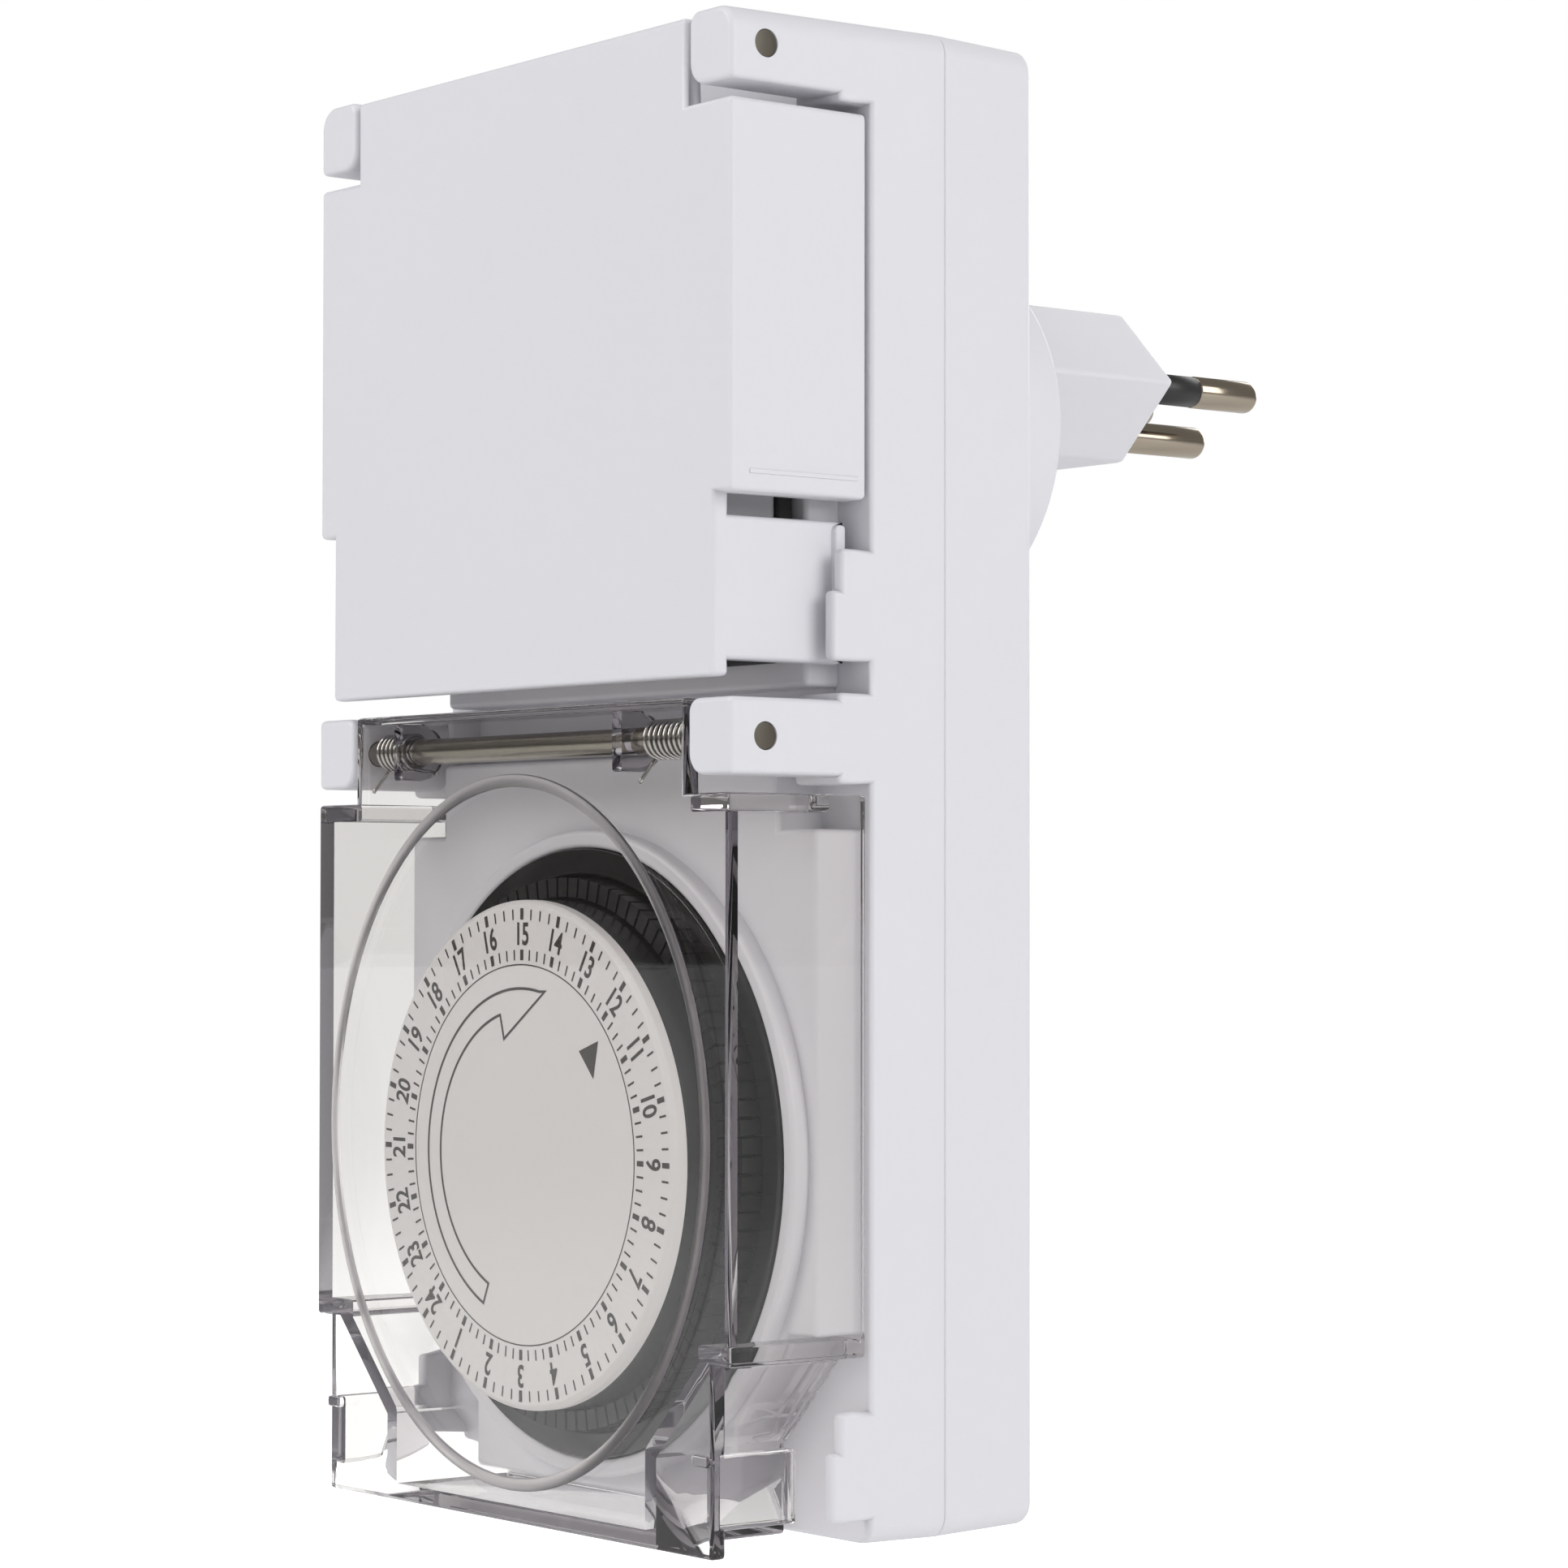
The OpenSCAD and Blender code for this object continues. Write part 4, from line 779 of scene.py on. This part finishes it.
strokes.append(grid_mesh("pointer", np.stack([np.stack([q[:, 0] * mm, np.full(3, print_y), (dial_z + q[:, 1]) * mm], -1)
                                              for q in grown]), around=True))
number_r, narrow = 24.85, 0.80
for hour in range(24):
    turn = (15 - (hour + 1)) * 15.0
    letters = bpy.data.curves.new("number", "FONT")
    letters.body, letters.size = str(hour + 1), 3.55 * mm
    letters.align_x, letters.align_y = "CENTER", "CENTER"
    letters.offset, letters.resolution_u = 0.075 * mm, 4
    thing = bpy.data.objects.new("number", letters)
    bpy.context.scene.collection.objects.link(thing)
    mesh = bpy.data.meshes.new_from_object(thing.evaluated_get(bpy.context.evaluated_depsgraph_get()))
    c, s = math.cos(math.radians(turn)), math.sin(math.radians(turn))
    along, up = Vector((c, 0, -s)), Vector((s, 0, c))
    heart = Vector((number_r * s * mm, print_y, (dial_z + number_r * c) * mm))
    upright = Matrix(((along.x * narrow, up.x, 0, 0), (0, 0, -1, 0), (along.z * narrow, up.z, 0, 0), (0, 0, 0, 1)))
    mesh.transform(Matrix.Translation(heart) @ upright)
    strokes.append(mesh)
    bpy.data.objects.remove(thing)
show("dial_print", facing_front(joined("dial_print", strokes)), ink, "dial", smooth=False, weld=False)

# ---- Drum, segments and bezel ----
# Black moulded drum with 96 loose push segments round it, in a black gloss ring that is pressed into the case.
black_drum = grained_plastic("black_drum", (0.010, 0.0095, 0.009), (0.014, 0.013, 0.012), 0.26, 0.6, 0.004)
black_gloss = grained_plastic("black_gloss", (0.010, 0.009, 0.009), (0.014, 0.013, 0.012), 0.14, 2.0, 0.002)
segment_plastic = grained_plastic("segment_plastic", (0.010, 0.0095, 0.009), (0.015, 0.014, 0.013), 0.28, 0.6, 0.004)
moulded("tappet_carrier", "drum", black_drum, "black_drum", 0.2)
moulded("timer_bezel", "bezel", black_gloss, "black_bezel", 0.3)
dress("tappets", segment_plastic)
dress("tappet_single", segment_plastic)

# ---- Drive behind the dial ----
# Grey base plate with acetal gears, steel arbor, geared motor and the microswitch that the segments work.
acetal = grained_plastic("acetal", (0.62, 0.59, 0.50), (0.60, 0.57, 0.48), 0.4, 0.6, 0.003)
grey_base = grained_plastic("grey_base", (0.16, 0.16, 0.17), (0.18, 0.18, 0.19), 0.5, 0.5, 0.006)
dress("timer_base", grey_base)
dress("dial_gear", acetal)
dress("stage_gear", acetal)
dress("microswitch", black_drum)
dress("motor_pinion", brass)
for node in ("dial_arbor", "motor", "switch_lever"):
    dress(node, steel)

# ---- Screws ----
# Four zinc-plated pan-head screws, put in from the back.
zinc = metal("zinc_plate", (0.62, 0.62, 0.60), 0.3, 0.3)
for node in ("screw_top_left", "screw_top_right", "screw_bottom_left", "screw_bottom_right"):
    dress(node, zinc)
